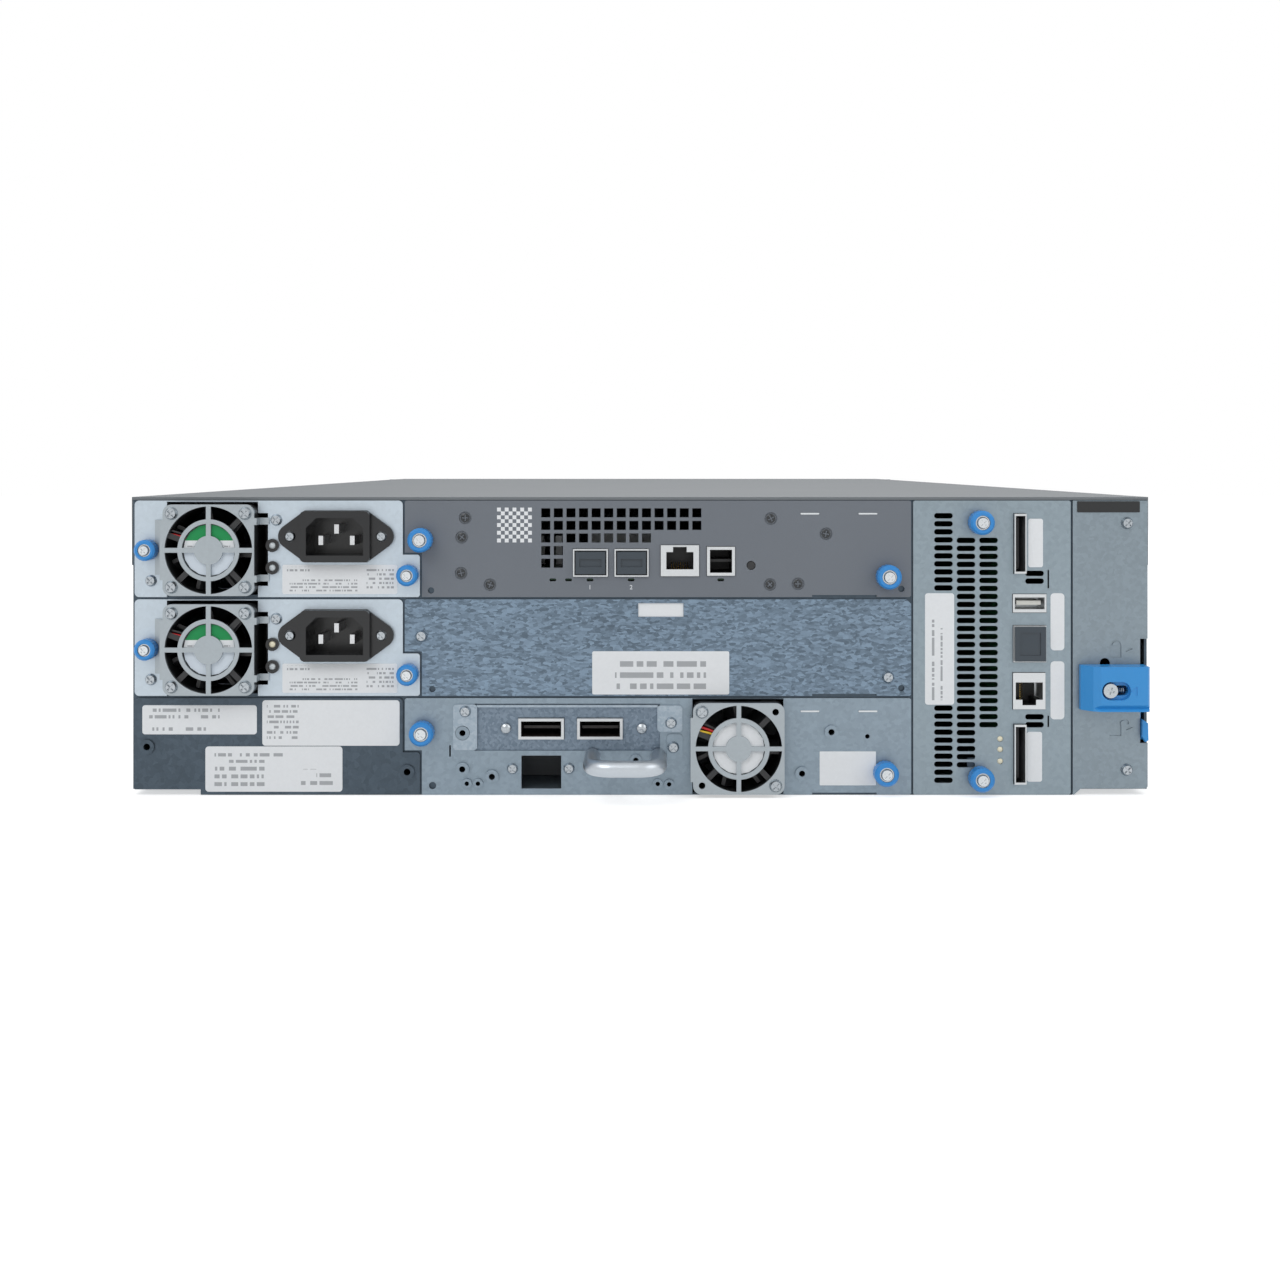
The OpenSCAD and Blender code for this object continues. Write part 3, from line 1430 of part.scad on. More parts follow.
module magazine(s) {
    xo = mag_x_out;
    xi = mag_x_out - mag_w;
    half = column_pitch / 2 - 1;
    color("#3b4046")
        mirror([s > 0 ? 0 : 1, 0, 0]) {
            difference() {
                block(xi, mag_d0, mag_z0, xo, bezel_d0 + eps, mag_z1);
                for (c = [0 : columns - 1], t = [0 : tiers - 1]) {
                    block(xi - 1, column_d(c) - half, tier_z(t) - 0.2, xo - mag_wall, column_d(c) + half,
                          tier_z(t) + slot_clear_h - 0.2);
                    // Window for the retaining spring in the back wall
                    block(xo - mag_wall - 1, column_d(c) - 12, tier_z(t) + 7, xo + 1, column_d(c) + 12,
                          tier_z(t) + 14);
                }
            }
            // Door in the bezel, with a finger pocket at its inner edge
            difference() {
                block(door_x1 + door_gap, bezel_d0, door_z0 + door_gap, half_w - 4 - door_gap, case_d - 1.5,
                      door_z1 - door_gap);
                block(door_x1 + 8, bezel_d0 + 5, 46, door_x1 + 26, case_d, 86);
                block(door_x1 + 8, bezel_d0 + 5, 46, door_x1 + 32, bezel_d0 + 11, 86);
            }
        }
}

// Tape cartridge, its labelled end towards the aisle
module cartridge() {
    color("#23272b")
        difference() {
            linear_extrude(cart_h)
                polygon([[0, 3], [3, 0], [cart_l, 0], [cart_l, cart_w], [3, cart_w], [0, cart_w - 3]]);
            translate([-1, 12, 4.5])
                cube([1.5, cart_w - 24, cart_h - 9]);
            for (y = [-1, cart_w - 1.5])
                translate([18, y, cart_h / 2 - 2])
                    cube([26, 2.5, 4]);
        }
}

module cartridges(s) {
    mirror([s > 0 ? 0 : 1, 0, 0])
        for (c = [0 : columns - 1], t = [0 : tiers - 1])
            if (!is_empty_slot(s, c, t))
                translate([cart_x_out - cart_l, rear_y + column_d(c) - cart_w / 2, tier_z(t)])
                    cartridge();
}

// ---------- robot ----------

module robot_lift() {
    box_w = rack_x0 - 2 * tooth_m - 0.4;
    color("#a9b0b5") {
        for (s = [-1, 1])
            block(s > 0 ? beam_x0 : -beam_x0 - beam_w, robot_d0, beam_z0, s > 0 ? beam_x0 + beam_w : -beam_x0,
                  robot_d1, beam_z1);
        for (d = [robot_d0, robot_d1 - cross_w])
            difference() {
                block(-beam_x0 - eps, d, beam_z0, beam_x0 + eps, d + cross_w, beam_z1);
                for (x = [-80 : 20 : 80])
                    translate([x, rear_y + d + cross_w / 2, beam_z0 - 1])
                        cylinder(h = beam_h + 2, r = 2.4);
            }
        // Gear housings that run along the toothed racks
        for (s = [-1, 1], d = [robot_d0, robot_d1 - cross_w])
            block(s > 0 ? beam_x0 : -box_w, d, beam_z0, s > 0 ? box_w : -beam_x0, d + cross_w, beam_z1 + 12);
    }
}

module robot_carriage() {
    web = beam_x0 - 2.5;
    z0 = turntable_z0 - guide - 2;
    lip = beam_z1 + guide;
    color("#c0c6ca") {
        difference() {
            block(-web, picker_d - carriage_half_d, z0, web, picker_d + carriage_half_d, z0 + 2);
            translate([0, rear_y + picker_d, z0 - 1])
                cylinder(h = 4, r = pivot_r + run_fit);
            for (x = [-70, 70], dd = [-38, 38])
                translate([x, rear_y + picker_d + dd, z0 - 1])
                    cylinder(h = 4, r = 9);
        }
        for (s = [-1, 1]) {
            block(s > 0 ? web - 2 : -web, picker_d - carriage_half_d, z0, s > 0 ? web : 2 - web,
                  picker_d + carriage_half_d, lip + 1.5);
            block(s > 0 ? web - 2 : -beam_x0 - 7, picker_d - carriage_half_d, lip, s > 0 ? beam_x0 + 7 : 2 - web,
                  picker_d + carriage_half_d, lip + 1.5);
        }
    }
}

// Turning tray that takes one cartridge, on its pivot
module robot_picker() {
    hw = picker_half_w;
    color("#4a5258") {
        translate([0, rear_y + picker_d, turntable_z0 - guide - 2])
            cylinder(h = guide + 2 + eps, r = pivot_r);
        translate([0, rear_y + picker_d, turntable_z0])
            cylinder(h = picker_floor_z0 - turntable_z0 + eps, r = turntable_r);
        difference() {
            block(-hw, picker_d - picker_half_l, picker_floor_z0, hw, picker_d + picker_half_l, picker_top);
            block(-hw + picker_wall, picker_d - picker_half_l - 1, picker_floor_z1, hw - picker_wall,
                  picker_d + picker_half_l - 3, picker_top + 1);
            for (s = [-1, 1], dd = [-30, 0, 30])
                translate([s * hw, rear_y + picker_d + dd, (picker_floor_z1 + picker_top) / 2])
                    rotate([0, 90, 0])
                        cylinder(h = 3 * picker_wall, r = 7, center = true);
        }
        // Bridge over the tray that guides the gripper tongue
        difference() {
            block(-hw, picker_d + 18, picker_top - 1, hw, picker_d + 34, picker_top + 5);
            block(-14 - guide, picker_d + 17, picker_top + guide, 14 + guide, picker_d + 35, picker_top + 3.4);
        }
    }
}

module robot_gripper() {
    z0 = picker_top + 2 * guide;
    color("#d8a13a") {
        block(-14, picker_d - picker_half_l + 4, z0, 14, picker_d + 40, z0 + 2.2);
        block(-14, picker_d - picker_half_l + 4, z0 - 2, 14, picker_d - picker_half_l + 8, z0 + eps);
    }
}

// ---------- all nodes ----------

base_chassis();
top_cover();
rear_frame();
inner_frame();
bay_cover();
lock_panel();
front_bezel();
operator_panel();
backplane();
chassis_screws();
psu_case(2);  // psu_1_case
psu_inlet(2);  // psu_1_inlet
color("#1d1f21") fan_frame(psu_fan_x, row_z(2) + psu_fan_dz);  // psu_1_fan_frame
color("#2a2d30") fan_rotor(psu_fan_x, row_z(2) + psu_fan_dz);  // psu_1_fan_rotor
psu_fan_guard(2);  // psu_1_fan_guard
psu_screws(2);  // psu_1_screws
psu_thumbscrew(psu_thumb_l, 2);  // psu_1_thumbscrew_left
psu_thumbscrew(psu_thumb_r, 2);  // psu_1_thumbscrew_right
psu_case(1);  // psu_2_case
psu_inlet(1);  // psu_2_inlet
color("#1d1f21") fan_frame(psu_fan_x, row_z(1) + psu_fan_dz);  // psu_2_fan_frame
color("#2a2d30") fan_rotor(psu_fan_x, row_z(1) + psu_fan_dz);  // psu_2_fan_rotor
psu_fan_guard(1);  // psu_2_fan_guard
psu_screws(1);  // psu_2_screws
psu_thumbscrew(psu_thumb_l, 1);  // psu_2_thumbscrew_left
psu_thumbscrew(psu_thumb_r, 1);  // psu_2_thumbscrew_right
bridge_case();
bridge_board();
sfp_plug(sfp_1);  // sfp_plug_1
sfp_plug(sfp_2);  // sfp_plug_2
reset_button();
bay_thumbscrew(bridge_thumb_l, 2);  // bridge_thumbscrew_left
bay_thumbscrew(bridge_thumb_r, 2);  // bridge_thumbscrew_right
sled_case();
sas_bracket();
tape_drive();
sled_handle();
color("#1d1f21") fan_frame(sled_fan_x, row_z0 + sled_fan_dz);  // sled_fan_frame
color("#2a2d30") fan_rotor(sled_fan_x, row_z0 + sled_fan_dz);  // sled_fan_rotor
sled_fan_guard();
sled_screws();
bay_thumbscrew(sled_thumb_l, 0);  // sled_thumbscrew_left
bay_thumbscrew(sled_thumb_r, 0);  // sled_thumbscrew_right
controller_panel();
controller_board();
diag_plug();
ctl_thumbscrew(body_h - ctl_thumb_dz - 1.4);  // controller_thumbscrew_top
ctl_thumbscrew(ctl_thumb_dz - 1.9);  // controller_thumbscrew_bottom
lock_carriage();
lock_slider();
lock_spring();
magazine(-1);  // magazine_left
cartridges(-1);  // cartridges_left
magazine(1);  // magazine_right
cartridges(1);  // cartridges_right
robot_lift();
robot_carriage();
robot_picker();
robot_gripper();
power_button();

module psu_thumbscrew(at, i) {
    color("#3b8fd6")
        thumbscrew(at[0], row_z(i) + at[1], small_knob_r);
}

module bay_thumbscrew(at, i) {
    color("#3b8fd6")
        thumbscrew(at[0], row_z(i) + at[1], large_knob_r);
}

module ctl_thumbscrew(z) {
    color("#3b8fd6")
        thumbscrew(ctl_thumb_x, z, large_knob_r);
}
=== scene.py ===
import math

import bpy
import numpy as np
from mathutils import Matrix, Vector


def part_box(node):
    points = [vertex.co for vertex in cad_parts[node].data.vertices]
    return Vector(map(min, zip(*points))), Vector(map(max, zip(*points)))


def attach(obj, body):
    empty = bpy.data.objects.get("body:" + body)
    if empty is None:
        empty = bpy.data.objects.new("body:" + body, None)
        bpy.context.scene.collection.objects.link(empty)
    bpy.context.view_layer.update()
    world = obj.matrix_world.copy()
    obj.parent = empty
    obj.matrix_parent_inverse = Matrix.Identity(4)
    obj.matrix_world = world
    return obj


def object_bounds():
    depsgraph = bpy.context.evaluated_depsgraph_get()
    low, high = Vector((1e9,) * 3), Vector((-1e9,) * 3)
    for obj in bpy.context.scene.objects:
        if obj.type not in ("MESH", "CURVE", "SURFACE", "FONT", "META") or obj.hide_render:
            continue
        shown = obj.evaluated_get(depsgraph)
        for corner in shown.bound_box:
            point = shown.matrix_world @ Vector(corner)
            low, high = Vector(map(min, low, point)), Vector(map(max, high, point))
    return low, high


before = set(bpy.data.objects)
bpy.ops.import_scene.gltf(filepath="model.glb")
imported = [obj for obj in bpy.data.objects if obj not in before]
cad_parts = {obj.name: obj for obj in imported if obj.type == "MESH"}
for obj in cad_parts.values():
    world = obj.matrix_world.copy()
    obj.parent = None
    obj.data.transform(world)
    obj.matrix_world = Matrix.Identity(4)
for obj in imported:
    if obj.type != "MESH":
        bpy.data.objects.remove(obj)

cad_low, cad_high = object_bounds()
mm = 0.001

# ---------------------------------------------------------------- the studio
# A pale table under the unit, a broad soft lamp over the connector side, a weaker one
# on the other side and an even room. The table and the room are pure white to the eye.


class Quantity:
    """A shader socket that can be reckoned with: each sign adds its Math node."""

    def __init__(self, graph, socket):
        self.graph, self.socket = graph, socket

    def reckon(self, word, *inputs):
        return self.graph.reckon(word, *inputs)

    def __add__(self, other):
        return self.reckon("ADD", self, other)

    def __sub__(self, other):
        return self.reckon("SUBTRACT", self, other)

    def __rsub__(self, other):
        return self.reckon("SUBTRACT", other, self)

    def __mul__(self, other):
        return self.reckon("MULTIPLY", self, other)

    def __truediv__(self, other):
        return self.reckon("DIVIDE", self, other)

    def __gt__(self, other):
        return self.reckon("GREATER_THAN", self, other)

    def __lt__(self, other):
        return self.reckon("LESS_THAN", self, other)

    def __and__(self, other):
        return self.reckon("MINIMUM", self, other)

    def __or__(self, other):
        return self.reckon("MAXIMUM", self, other)

    __radd__ = __add__
    __rmul__ = __mul__


class Graph:
    """A node tree in which one call adds any node: its type, its settings, then its sockets."""

    def __init__(self, owner):
        owner.use_nodes = True
        self.owner, self.tree = owner, owner.node_tree
        self.tree.nodes.clear()

    def node(self, kind, settings=None, *inputs, out=0, **named):
        made = self.tree.nodes.new(kind)
        for name, value in (settings or {}).items():
            if name == "stops":
                ramp = made.color_ramp
                for place, colour in value[1:-1]:
                    ramp.elements.new(place)
                for element, (place, colour) in zip(ramp.elements, value):
                    element.position, element.color = place, colour
            else:
                setattr(made, name, value)
        for place, value in [*enumerate(inputs), *named.items()]:
            socket = made.inputs[place.replace("_", " ") if isinstance(place, str) else place]
            if isinstance(value, Quantity):
                self.tree.links.new(value.socket, socket)
            elif value is not None:
                socket.default_value = value
        return Quantity(self, made.outputs[out]) if len(made.outputs) else None

    def reckon(self, word, *inputs):
        return self.node("ShaderNodeMath", {"operation": word}, *inputs)

    def set(self, **sockets):
        """Feeds the Principled shader's sockets, with fixed values or with quantities."""
        for name, value in sockets.items():
            socket = self.shader.inputs[name.replace("_", " ")]
            if isinstance(value, Quantity):
                self.tree.links.new(value.socket, socket)
            else:
                socket.default_value = value


def rgb(red, green, blue):
    """A colour as written on a swatch, 0 to 255, turned to the linear values that shaders take."""
    part = np.array([red, green, blue], float) / 255
    return (*np.where(part < 0.04045, part / 12.92, ((part + 0.055) / 1.055) ** 2.4), 1.0)


def seen(graph):
    """1 for rays that the eye follows, straight or by a mirror or a pane."""
    straight, mirrored, through = (
        graph.node("ShaderNodeLightPath", out=name)
        for name in ("Is Camera Ray", "Is Glossy Ray", "Is Transmission Ray")
    )
    return straight | mirrored | through


# The room lights the part at less than the full white that the eye sees it at
room_light = 0.64
table_lift = 0.5
white = (1, 1, 1, 1)
room = bpy.data.worlds.new("even_room")
bpy.context.scene.world = room
air = Graph(room)
glow = air.node("ShaderNodeBackground", None, white, seen(air) * (1 - room_light) + room_light)
air.node("ShaderNodeOutputWorld", None, glow)

table_paint = Graph(bpy.data.materials.new("table_paint"))
grain = table_paint.node("ShaderNodeTexNoise", None, Scale=9.0, Detail=3.0)
pale = table_paint.node(
    "ShaderNodeMixRGB", None, grain, (0.83, 0.83, 0.83, 1), (0.85, 0.85, 0.85, 1)
)
matt = table_paint.node("ShaderNodeBsdfDiffuse", None, pale)
lift = table_paint.node("ShaderNodeEmission", None, white, seen(table_paint) * table_lift)
both = table_paint.node("ShaderNodeAddShader", None, matt, lift)
table_paint.node("ShaderNodeOutputMaterial", None, both)


def skin(name, grid, ring=True, caps=(False, False)):
    """A mesh through a grid of points (rows, columns, 3): quads between neighbours, the
    columns joined round when ring is True, and the first or last row closed by one face.
    The faces are turned outward by the sign of the enclosed volume."""
    rows, columns = grid.shape[:2]
    index = np.arange(rows * columns).reshape(rows, columns)
    across = np.roll(index, -1, 1) if ring else index[:, 1:]
    along = index if ring else index[:, :-1]
    quads = np.stack([along[:-1], across[:-1], across[1:], along[1:]], -1).reshape(-1, 4)
    ends = [index[0][::-1]] * caps[0] + [index[-1]] * caps[1]
    points = grid.reshape(-1, 3)
    fans = [np.stack([np.full(columns - 2, e[0]), e[1:-1], e[2:]], -1) for e in ends]
    flat = np.concatenate([quads[:, [0, 1, 2]], quads[:, [0, 2, 3]], *fans])
    a, b, c = points[flat[:, 0]], points[flat[:, 1]], points[flat[:, 2]]
    faces = [list(map(int, f)) for f in quads] + [list(map(int, e)) for e in ends]
    if np.einsum("ij,ij->", a, np.cross(b, c)) < 0 and ring:
        faces = [f[::-1] for f in faces]
    mesh = bpy.data.meshes.new(name)
    mesh.from_pydata(points.tolist(), [], faces)
    mesh.update()
    made = bpy.data.objects.new(name, mesh)
    bpy.context.scene.collection.objects.link(made)
    return made


table_reach = np.meshgrid(np.linspace(-6, 6, 13), np.linspace(-6, 6, 13))
table = skin("table", np.stack([*table_reach, 0 * table_reach[0]], -1), ring=False)
table.data.materials.append(table_paint.owner)

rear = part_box("lock_panel")[0].y
base = cad_low.z
for name, place, size, power in (
    ("key", (-1.1, rear - 1.5, 1.7), (1.6, 1.2), 17.0),
    ("fill", (1.5, rear - 0.9, 1.0), (1.2, 1.2), 6.0),
    ("back", (0.3, 1.9, 1.6), (1.8, 1.0), 16.0),
):
    lamp = bpy.data.lights.new(name, "AREA")
    lamp.shape, lamp.size, lamp.size_y, lamp.energy = "RECTANGLE", *size, power
    holder = bpy.data.objects.new(name, lamp)
    holder.location = place
    aim = np.array([0, rear + 0.2, 0.06]) - place
    holder.rotation_euler = (
        math.atan2(np.hypot(aim[0], aim[1]), -aim[2]), 0, math.atan2(-aim[0], aim[1])
    )
    bpy.context.scene.collection.objects.link(holder)

lens = bpy.data.cameras.new("camera")
lens.sensor_width, lens.lens, lens.shift_y = 36.0, 46.1, -0.1383
camera = bpy.data.objects.new("camera", lens)
camera.location = (0.0, rear - 0.72, base + 0.146)
camera.rotation_euler = (math.pi / 2, 0, 0)
bpy.context.scene.collection.objects.link(camera)
bpy.context.scene.camera = camera
bpy.context.scene.view_settings.view_transform = "Standard"

# ---------------------------------------------------------------- galvanised sheets
# Zinc-coated steel sheet, cut and folded. The coat has crystals a few millimetres wide,
# each tilted its own way, a fine grain in them and a slow cloudiness from the rolling.


def finish(name, colour, rough, metal=0.0, **fixed):
    """A material on the Principled shader: its graph, and the object coordinates in millimetres."""
    graph = Graph(bpy.data.materials.new(name))
    graph.shader = graph.tree.nodes.new("ShaderNodeBsdfPrincipled")
    graph.node("ShaderNodeOutputMaterial", None, Quantity(graph, graph.shader.outputs[0]))
    here = graph.node("ShaderNodeTexCoord", out="Object")
    graph.here = graph.node("ShaderNodeVectorMath", {"operation": "SCALE"}, here, Scale=1000.0)
    graph.set(Base_Color=colour, Roughness=rough, Metallic=metal, **fixed)
    return graph


def tint(graph, amount, low, high):
    """A colour between two, by an amount from 0 to 1."""
    return graph.node("ShaderNodeMixRGB", None, amount, low, high)


def shade(colour, by):
    return (*[min(1.0, c * by) for c in colour[:3]], 1.0)


def bump(graph, height, distance):
    graph.set(Normal=graph.node("ShaderNodeBump", None, Strength=1.0, Distance=distance * mm,
                                Height=height))


def zinc(name, colour, crystal, contrast, rough=0.42, metal=0.8, relief=0.02, lie=1.0):
    """Crystals are Voronoi cells of a size in millimetres; each cell's own random grey
    shifts the colour by the contrast, and noise at a third of the size breaks it up. Where
    lie is under 1 the crystals are drawn out along x, as on sheet from a narrow roll."""
    graph = finish(name, colour, rough, metal)
    graph.here = graph.node("ShaderNodeVectorMath", {"operation": "MULTIPLY"}, graph.here, (lie, 1, 1))
    bend = graph.node("ShaderNodeTexNoise", None, Vector=graph.here, Scale=0.8 / crystal,
                      Detail=2.0, out=1)
    place = graph.node("ShaderNodeVectorMath", {"operation": "MULTIPLY_ADD"},
                       bend, (crystal * 1.2,) * 3, graph.here)
    cell = graph.node("ShaderNodeTexVoronoi", None, Vector=place, Scale=1 / crystal, out="Color")
    own = graph.node("ShaderNodeSeparateColor", None, cell)
    fine = graph.node("ShaderNodeTexNoise", None, Vector=graph.here, Scale=3 / crystal, Detail=3.0)
    cloud = graph.node("ShaderNodeTexNoise", None, Vector=graph.here, Scale=0.03, Detail=2.0)
    amount = own * 0.5 + fine * 0.3 + cloud * 0.2
    graph.set(
        Base_Color=tint(graph, amount, shade(colour, 1 - contrast), shade(colour, 1 + contrast)),
        Roughness=amount * 0.14 + (rough - 0.07),
    )
    bump(graph, amount, relief)
    return graph.owner


def dress(material, *nodes):
    """Puts one material on the carried-over nodes."""
    for node in nodes:
        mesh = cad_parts[node].data
        mesh.materials.clear()
        mesh.materials.append(material)


dress(zinc("frame_zinc", rgb(72, 83, 93), 2.2, 0.24), "rear_frame")
dress(zinc("tray_zinc", rgb(140, 148, 154), 2.6, 0.12), "base_chassis", "inner_frame")
dress(zinc("cover_zinc", rgb(107, 124, 140), 0.9, 0.75, relief=0.05, lie=0.45), "bay_cover")
dress(zinc("sled_zinc", rgb(132, 146, 157), 1.6, 0.16), "sled_case")
dress(zinc("bracket_zinc", rgb(108, 122, 136), 1.2, 0.16), "sas_bracket")
dress(zinc("controller_zinc", rgb(136, 149, 157), 1.6, 0.12), "controller_panel")
dress(zinc("lock_zinc", rgb(129, 141, 149), 1.5, 0.14), "lock_panel")
dress(zinc("supply_zinc", rgb(182, 193, 202), 1.5, 0.07), "psu_1_case", "psu_2_case")
dress(zinc("guard_zinc", rgb(158, 166, 171), 1.0, 0.05, rough=0.36),
      "psu_1_fan_guard", "psu_2_fan_guard", "sled_fan_guard")

# ---------------------------------------------------------------- painted sheets
# The top cover has a smooth satin grey coat; the bridge's face a fine rough dark grey one.


def paint(name, colour, rough, grit, relief, contrast=0.04, **fixed):
    """A sprayed coat: grit is the size of its orange peel or texture in millimetres."""
    graph = finish(name, colour, rough, **fixed)
    peel = graph.node("ShaderNodeTexNoise", None, Vector=graph.here, Scale=1 / grit, Detail=3.0)
    cloud = graph.node("ShaderNodeTexNoise", None, Vector=graph.here, Scale=0.02, Detail=2.0)
    amount = peel * 0.6 + cloud * 0.4
    graph.set(
        Base_Color=tint(graph, amount, shade(colour, 1 - contrast), shade(colour, 1 + contrast)),
        Roughness=amount * 0.12 + (rough - 0.06),
    )
    bump(graph, peel, relief)
    return graph.owner


dress(paint("cover_coat", rgb(114, 119, 123), 0.6, 0.5, 0.01, Specular_IOR_Level=0.15),
      "top_cover")
dress(paint("bridge_coat", rgb(104, 110, 118), 0.5, 0.28, 0.05, contrast=0.14), "bridge_case")
dress(paint("drive_coat", rgb(92, 96, 101), 0.5, 0.4, 0.02), "tape_drive")

# ---------------------------------------------------------------- moulded plastics
# Injection-moulded parts with a fine spark-eroded grain.


def moulded(name, colour, rough, grain=0.25, relief=0.008, contrast=0.08, **fixed):
    return paint(name, colour, rough, grain, relief, contrast, **fixed)


dress(moulded("bezel_black", rgb(38, 40, 43), 0.5), "front_bezel")
dress(moulded("button_white", rgb(205, 209, 212), 0.3), "power_button")
dress(moulded("lock_blue", rgb(48, 140, 208), 0.34), "lock_slider")
dress(moulded("fan_black", rgb(34, 35, 37), 0.4),
      "psu_1_fan_frame", "psu_2_fan_frame", "sled_fan_frame",
      "psu_1_fan_rotor", "psu_2_fan_rotor", "sled_fan_rotor", "reset_button")
dress(moulded("plug_grey", rgb(50, 60, 69), 0.35), "sfp_plug_1", "sfp_plug_2", "diag_plug")
dress(moulded("magazine_grey", rgb(52, 55, 58), 0.5), "magazine_left", "magazine_right")
dress(moulded("cartridge_shell", rgb(44, 48, 54), 0.4), "cartridges_left", "cartridges_right")
dress(moulded("picker_grey", rgb(66, 70, 74), 0.45), "robot_picker")
dress(moulded("gripper_amber", rgb(205, 158, 70), 0.4), "robot_gripper")

# ---------------------------------------------------------------- bright metals
# Plated screws, the satin handle, tinned shields and the robot's aluminium.
screw_steel = zinc("screw_steel", rgb(168, 174, 179), 0.6, 0.10, rough=0.26, metal=1.0)
dress(screw_steel, "psu_1_screws", "psu_2_screws", "sled_screws", "chassis_screws", "lock_spring")
dress(zinc("handle_satin", rgb(184, 190, 196), 0.5, 0.04, rough=0.34, metal=1.0), "sled_handle")
dress(zinc("robot_alloy", rgb(170, 175, 179), 0.8, 0.05, rough=0.4), "robot_lift", "robot_carriage")
dress(moulded("board_green", rgb(44, 98, 66), 0.4), "bridge_board", "controller_board", "backplane")

# ---------------------------------------------------------------- captive thumbscrews
# A fluted blue plastic knob pressed on a plated cross-head screw; it turns the module home.
blue_knob = rgb(46, 134, 206)
screw_share = 0.6


def disc(graph, x, z, radius):
    """1 inside a circle of the rear view, in millimetres, 0 outside it."""
    away = graph.node("ShaderNodeVectorMath", {"operation": "SUBTRACT"}, graph.here, (x, 0, z))
    away = graph.node("ShaderNodeVectorMath", {"operation": "MULTIPLY"}, away, (1, 0, 1))
    return graph.node("ShaderNodeVectorMath", {"operation": "LENGTH"}, away, out=1) < radius


for node in sorted(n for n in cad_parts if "thumbscrew" in n):
    low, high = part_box(node)
    centre = (low + high) / 2 / mm
    radius = (high.x - low.x) / 2 / mm
    knob = finish(node + "_finish", blue_knob, 0.35)
    metal = disc(knob, centre.x, centre.z, radius * screw_share)
    grain = knob.node("ShaderNodeTexNoise", None, Vector=knob.here, Scale=2.5, Detail=3.0)
    plastic = tint(knob, grain, shade(blue_knob, 0.85), shade(blue_knob, 1.15))
    knob.set(
        Base_Color=tint(knob, metal, plastic, rgb(200, 204, 207)),
        Metallic=metal * 1.0,
        Roughness=metal * -0.1 + grain * 0.1 + 0.3,
    )
    bump(knob, grain, 0.01)
    dress(knob.owner, node)

# ---------------------------------------------------------------- paper stickers
# White labels with rounded corners, stuck on the plates. Their print is only rows of
# small grey marks, with no words, so that each plate keeps its plain labelled look.


def loop(x0, z0, x1, z1, corner, steps=5):
    """The outline of a rounded rectangle, as (x, z) pairs: a quarter circle at each corner,
    joined by the straight sides."""
    turn = np.linspace(0, math.pi / 2, steps)
    quarter = [turn + k * math.pi / 2 for k in range(4)]
    corner = min(corner, (x1 - x0) / 2 - 0.01, (z1 - z0) / 2 - 0.01)
    mid = [(x1 - corner, z1 - corner), (x0 + corner, z1 - corner),
           (x0 + corner, z0 + corner), (x1 - corner, z0 + corner)]
    return np.concatenate([
        np.stack([mx + corner * np.cos(q), mz + corner * np.sin(q)], -1)
        for (mx, mz), q in zip(mid, quarter)
    ])


def pane(name, x0, z0, x1, z1, corner, depth, thick, soft=0.04):
    """A flat sheet that faces the rear: its outline at the back, at the shoulder and, drawn
    in by a soft edge, at the front, closed at both ends. Sizes in millimetres, depth from
    the plates' outer plane."""
    rows = []
    for inset, d in ((0, depth), (0, depth - thick + soft), (soft, depth - thick)):
        edge = loop(x0 + inset, z0 + inset, x1 - inset, z1 - inset, corner)
        rows.append(np.stack([edge[:, 0], np.full(len(edge), d), edge[:, 1]], -1))
    return skin(name, np.array(rows) * mm + [0, rear, 0], caps=(True, True))


def within(graph, x0, z0, x1, z1):
    """1 inside a rectangle of the rear view, in millimetres, 0 outside it."""
    part = graph.node("ShaderNodeSeparateXYZ", None, graph.here)
    up = graph.node("ShaderNodeSeparateXYZ", None, graph.here, out=2)
    return (part > x0) & (part < x1) & (up > z0) & (up < z1)


def paper(name, *prints, ground=rgb(226, 229, 232), ink=rgb(96, 100, 106)):
    """Coated paper, with blocks of printed marks: rows at a pitch, in each row cells of a
    third of the pitch, inked where a cell's random number is high."""
    graph = finish(name, ground, 0.45, Specular_IOR_Level=0.3)
    fibre = graph.node("ShaderNodeTexNoise", None, Vector=graph.here, Scale=0.8, Detail=4.0)
    colour = tint(graph, fibre, shade(ground, 0.95), shade(ground, 1.03))
    across = graph.node("ShaderNodeSeparateXYZ", None, graph.here)
    up = graph.node("ShaderNodeSeparateXYZ", None, graph.here, out=2)
    for x0, z0, x1, z1, pitch in prints:
        # A block much taller than wide is read from the side
        standing = z1 - z0 > 2.5 * (x1 - x0)
        row, along = ((across - x0) / pitch, up) if standing else ((up - z0) / pitch, across)
        lines = graph.reckon("FRACT", row) < 0.5
        stroke, letters = (
            graph.node("ShaderNodeTexWhiteNoise", None, graph.node(
                "ShaderNodeCombineXYZ", None, graph.reckon("FLOOR", along / (pitch * width)),
                graph.reckon("FLOOR", row)))
            for width in (0.3, 1.9)
        )
        marks = lines & (stroke > 0.35) & (letters > 0.12) & within(graph, x0, z0, x1, z1)
        colour = tint(graph, marks * 0.6, colour, ink)
    graph.set(Base_Color=colour, Roughness=fibre * 0.1 + 0.4)
    bump(graph, fibre, 0.01)
    return graph


left, right = cad_low.x / mm, cad_high.x / mm
supply = {n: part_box(f"psu_{n}_case")[0] / mm for n in (1, 2)}
bay_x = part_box("bridge_case")[0].x / mm
cover_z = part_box("bay_cover")[0].z / mm
sled_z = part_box("sled_case")[0].z / mm
bridge_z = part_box("bridge_case")[0].z / mm
desk_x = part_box("controller_panel")[0].x / mm
panel_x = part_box("rear_frame")[0].x / mm

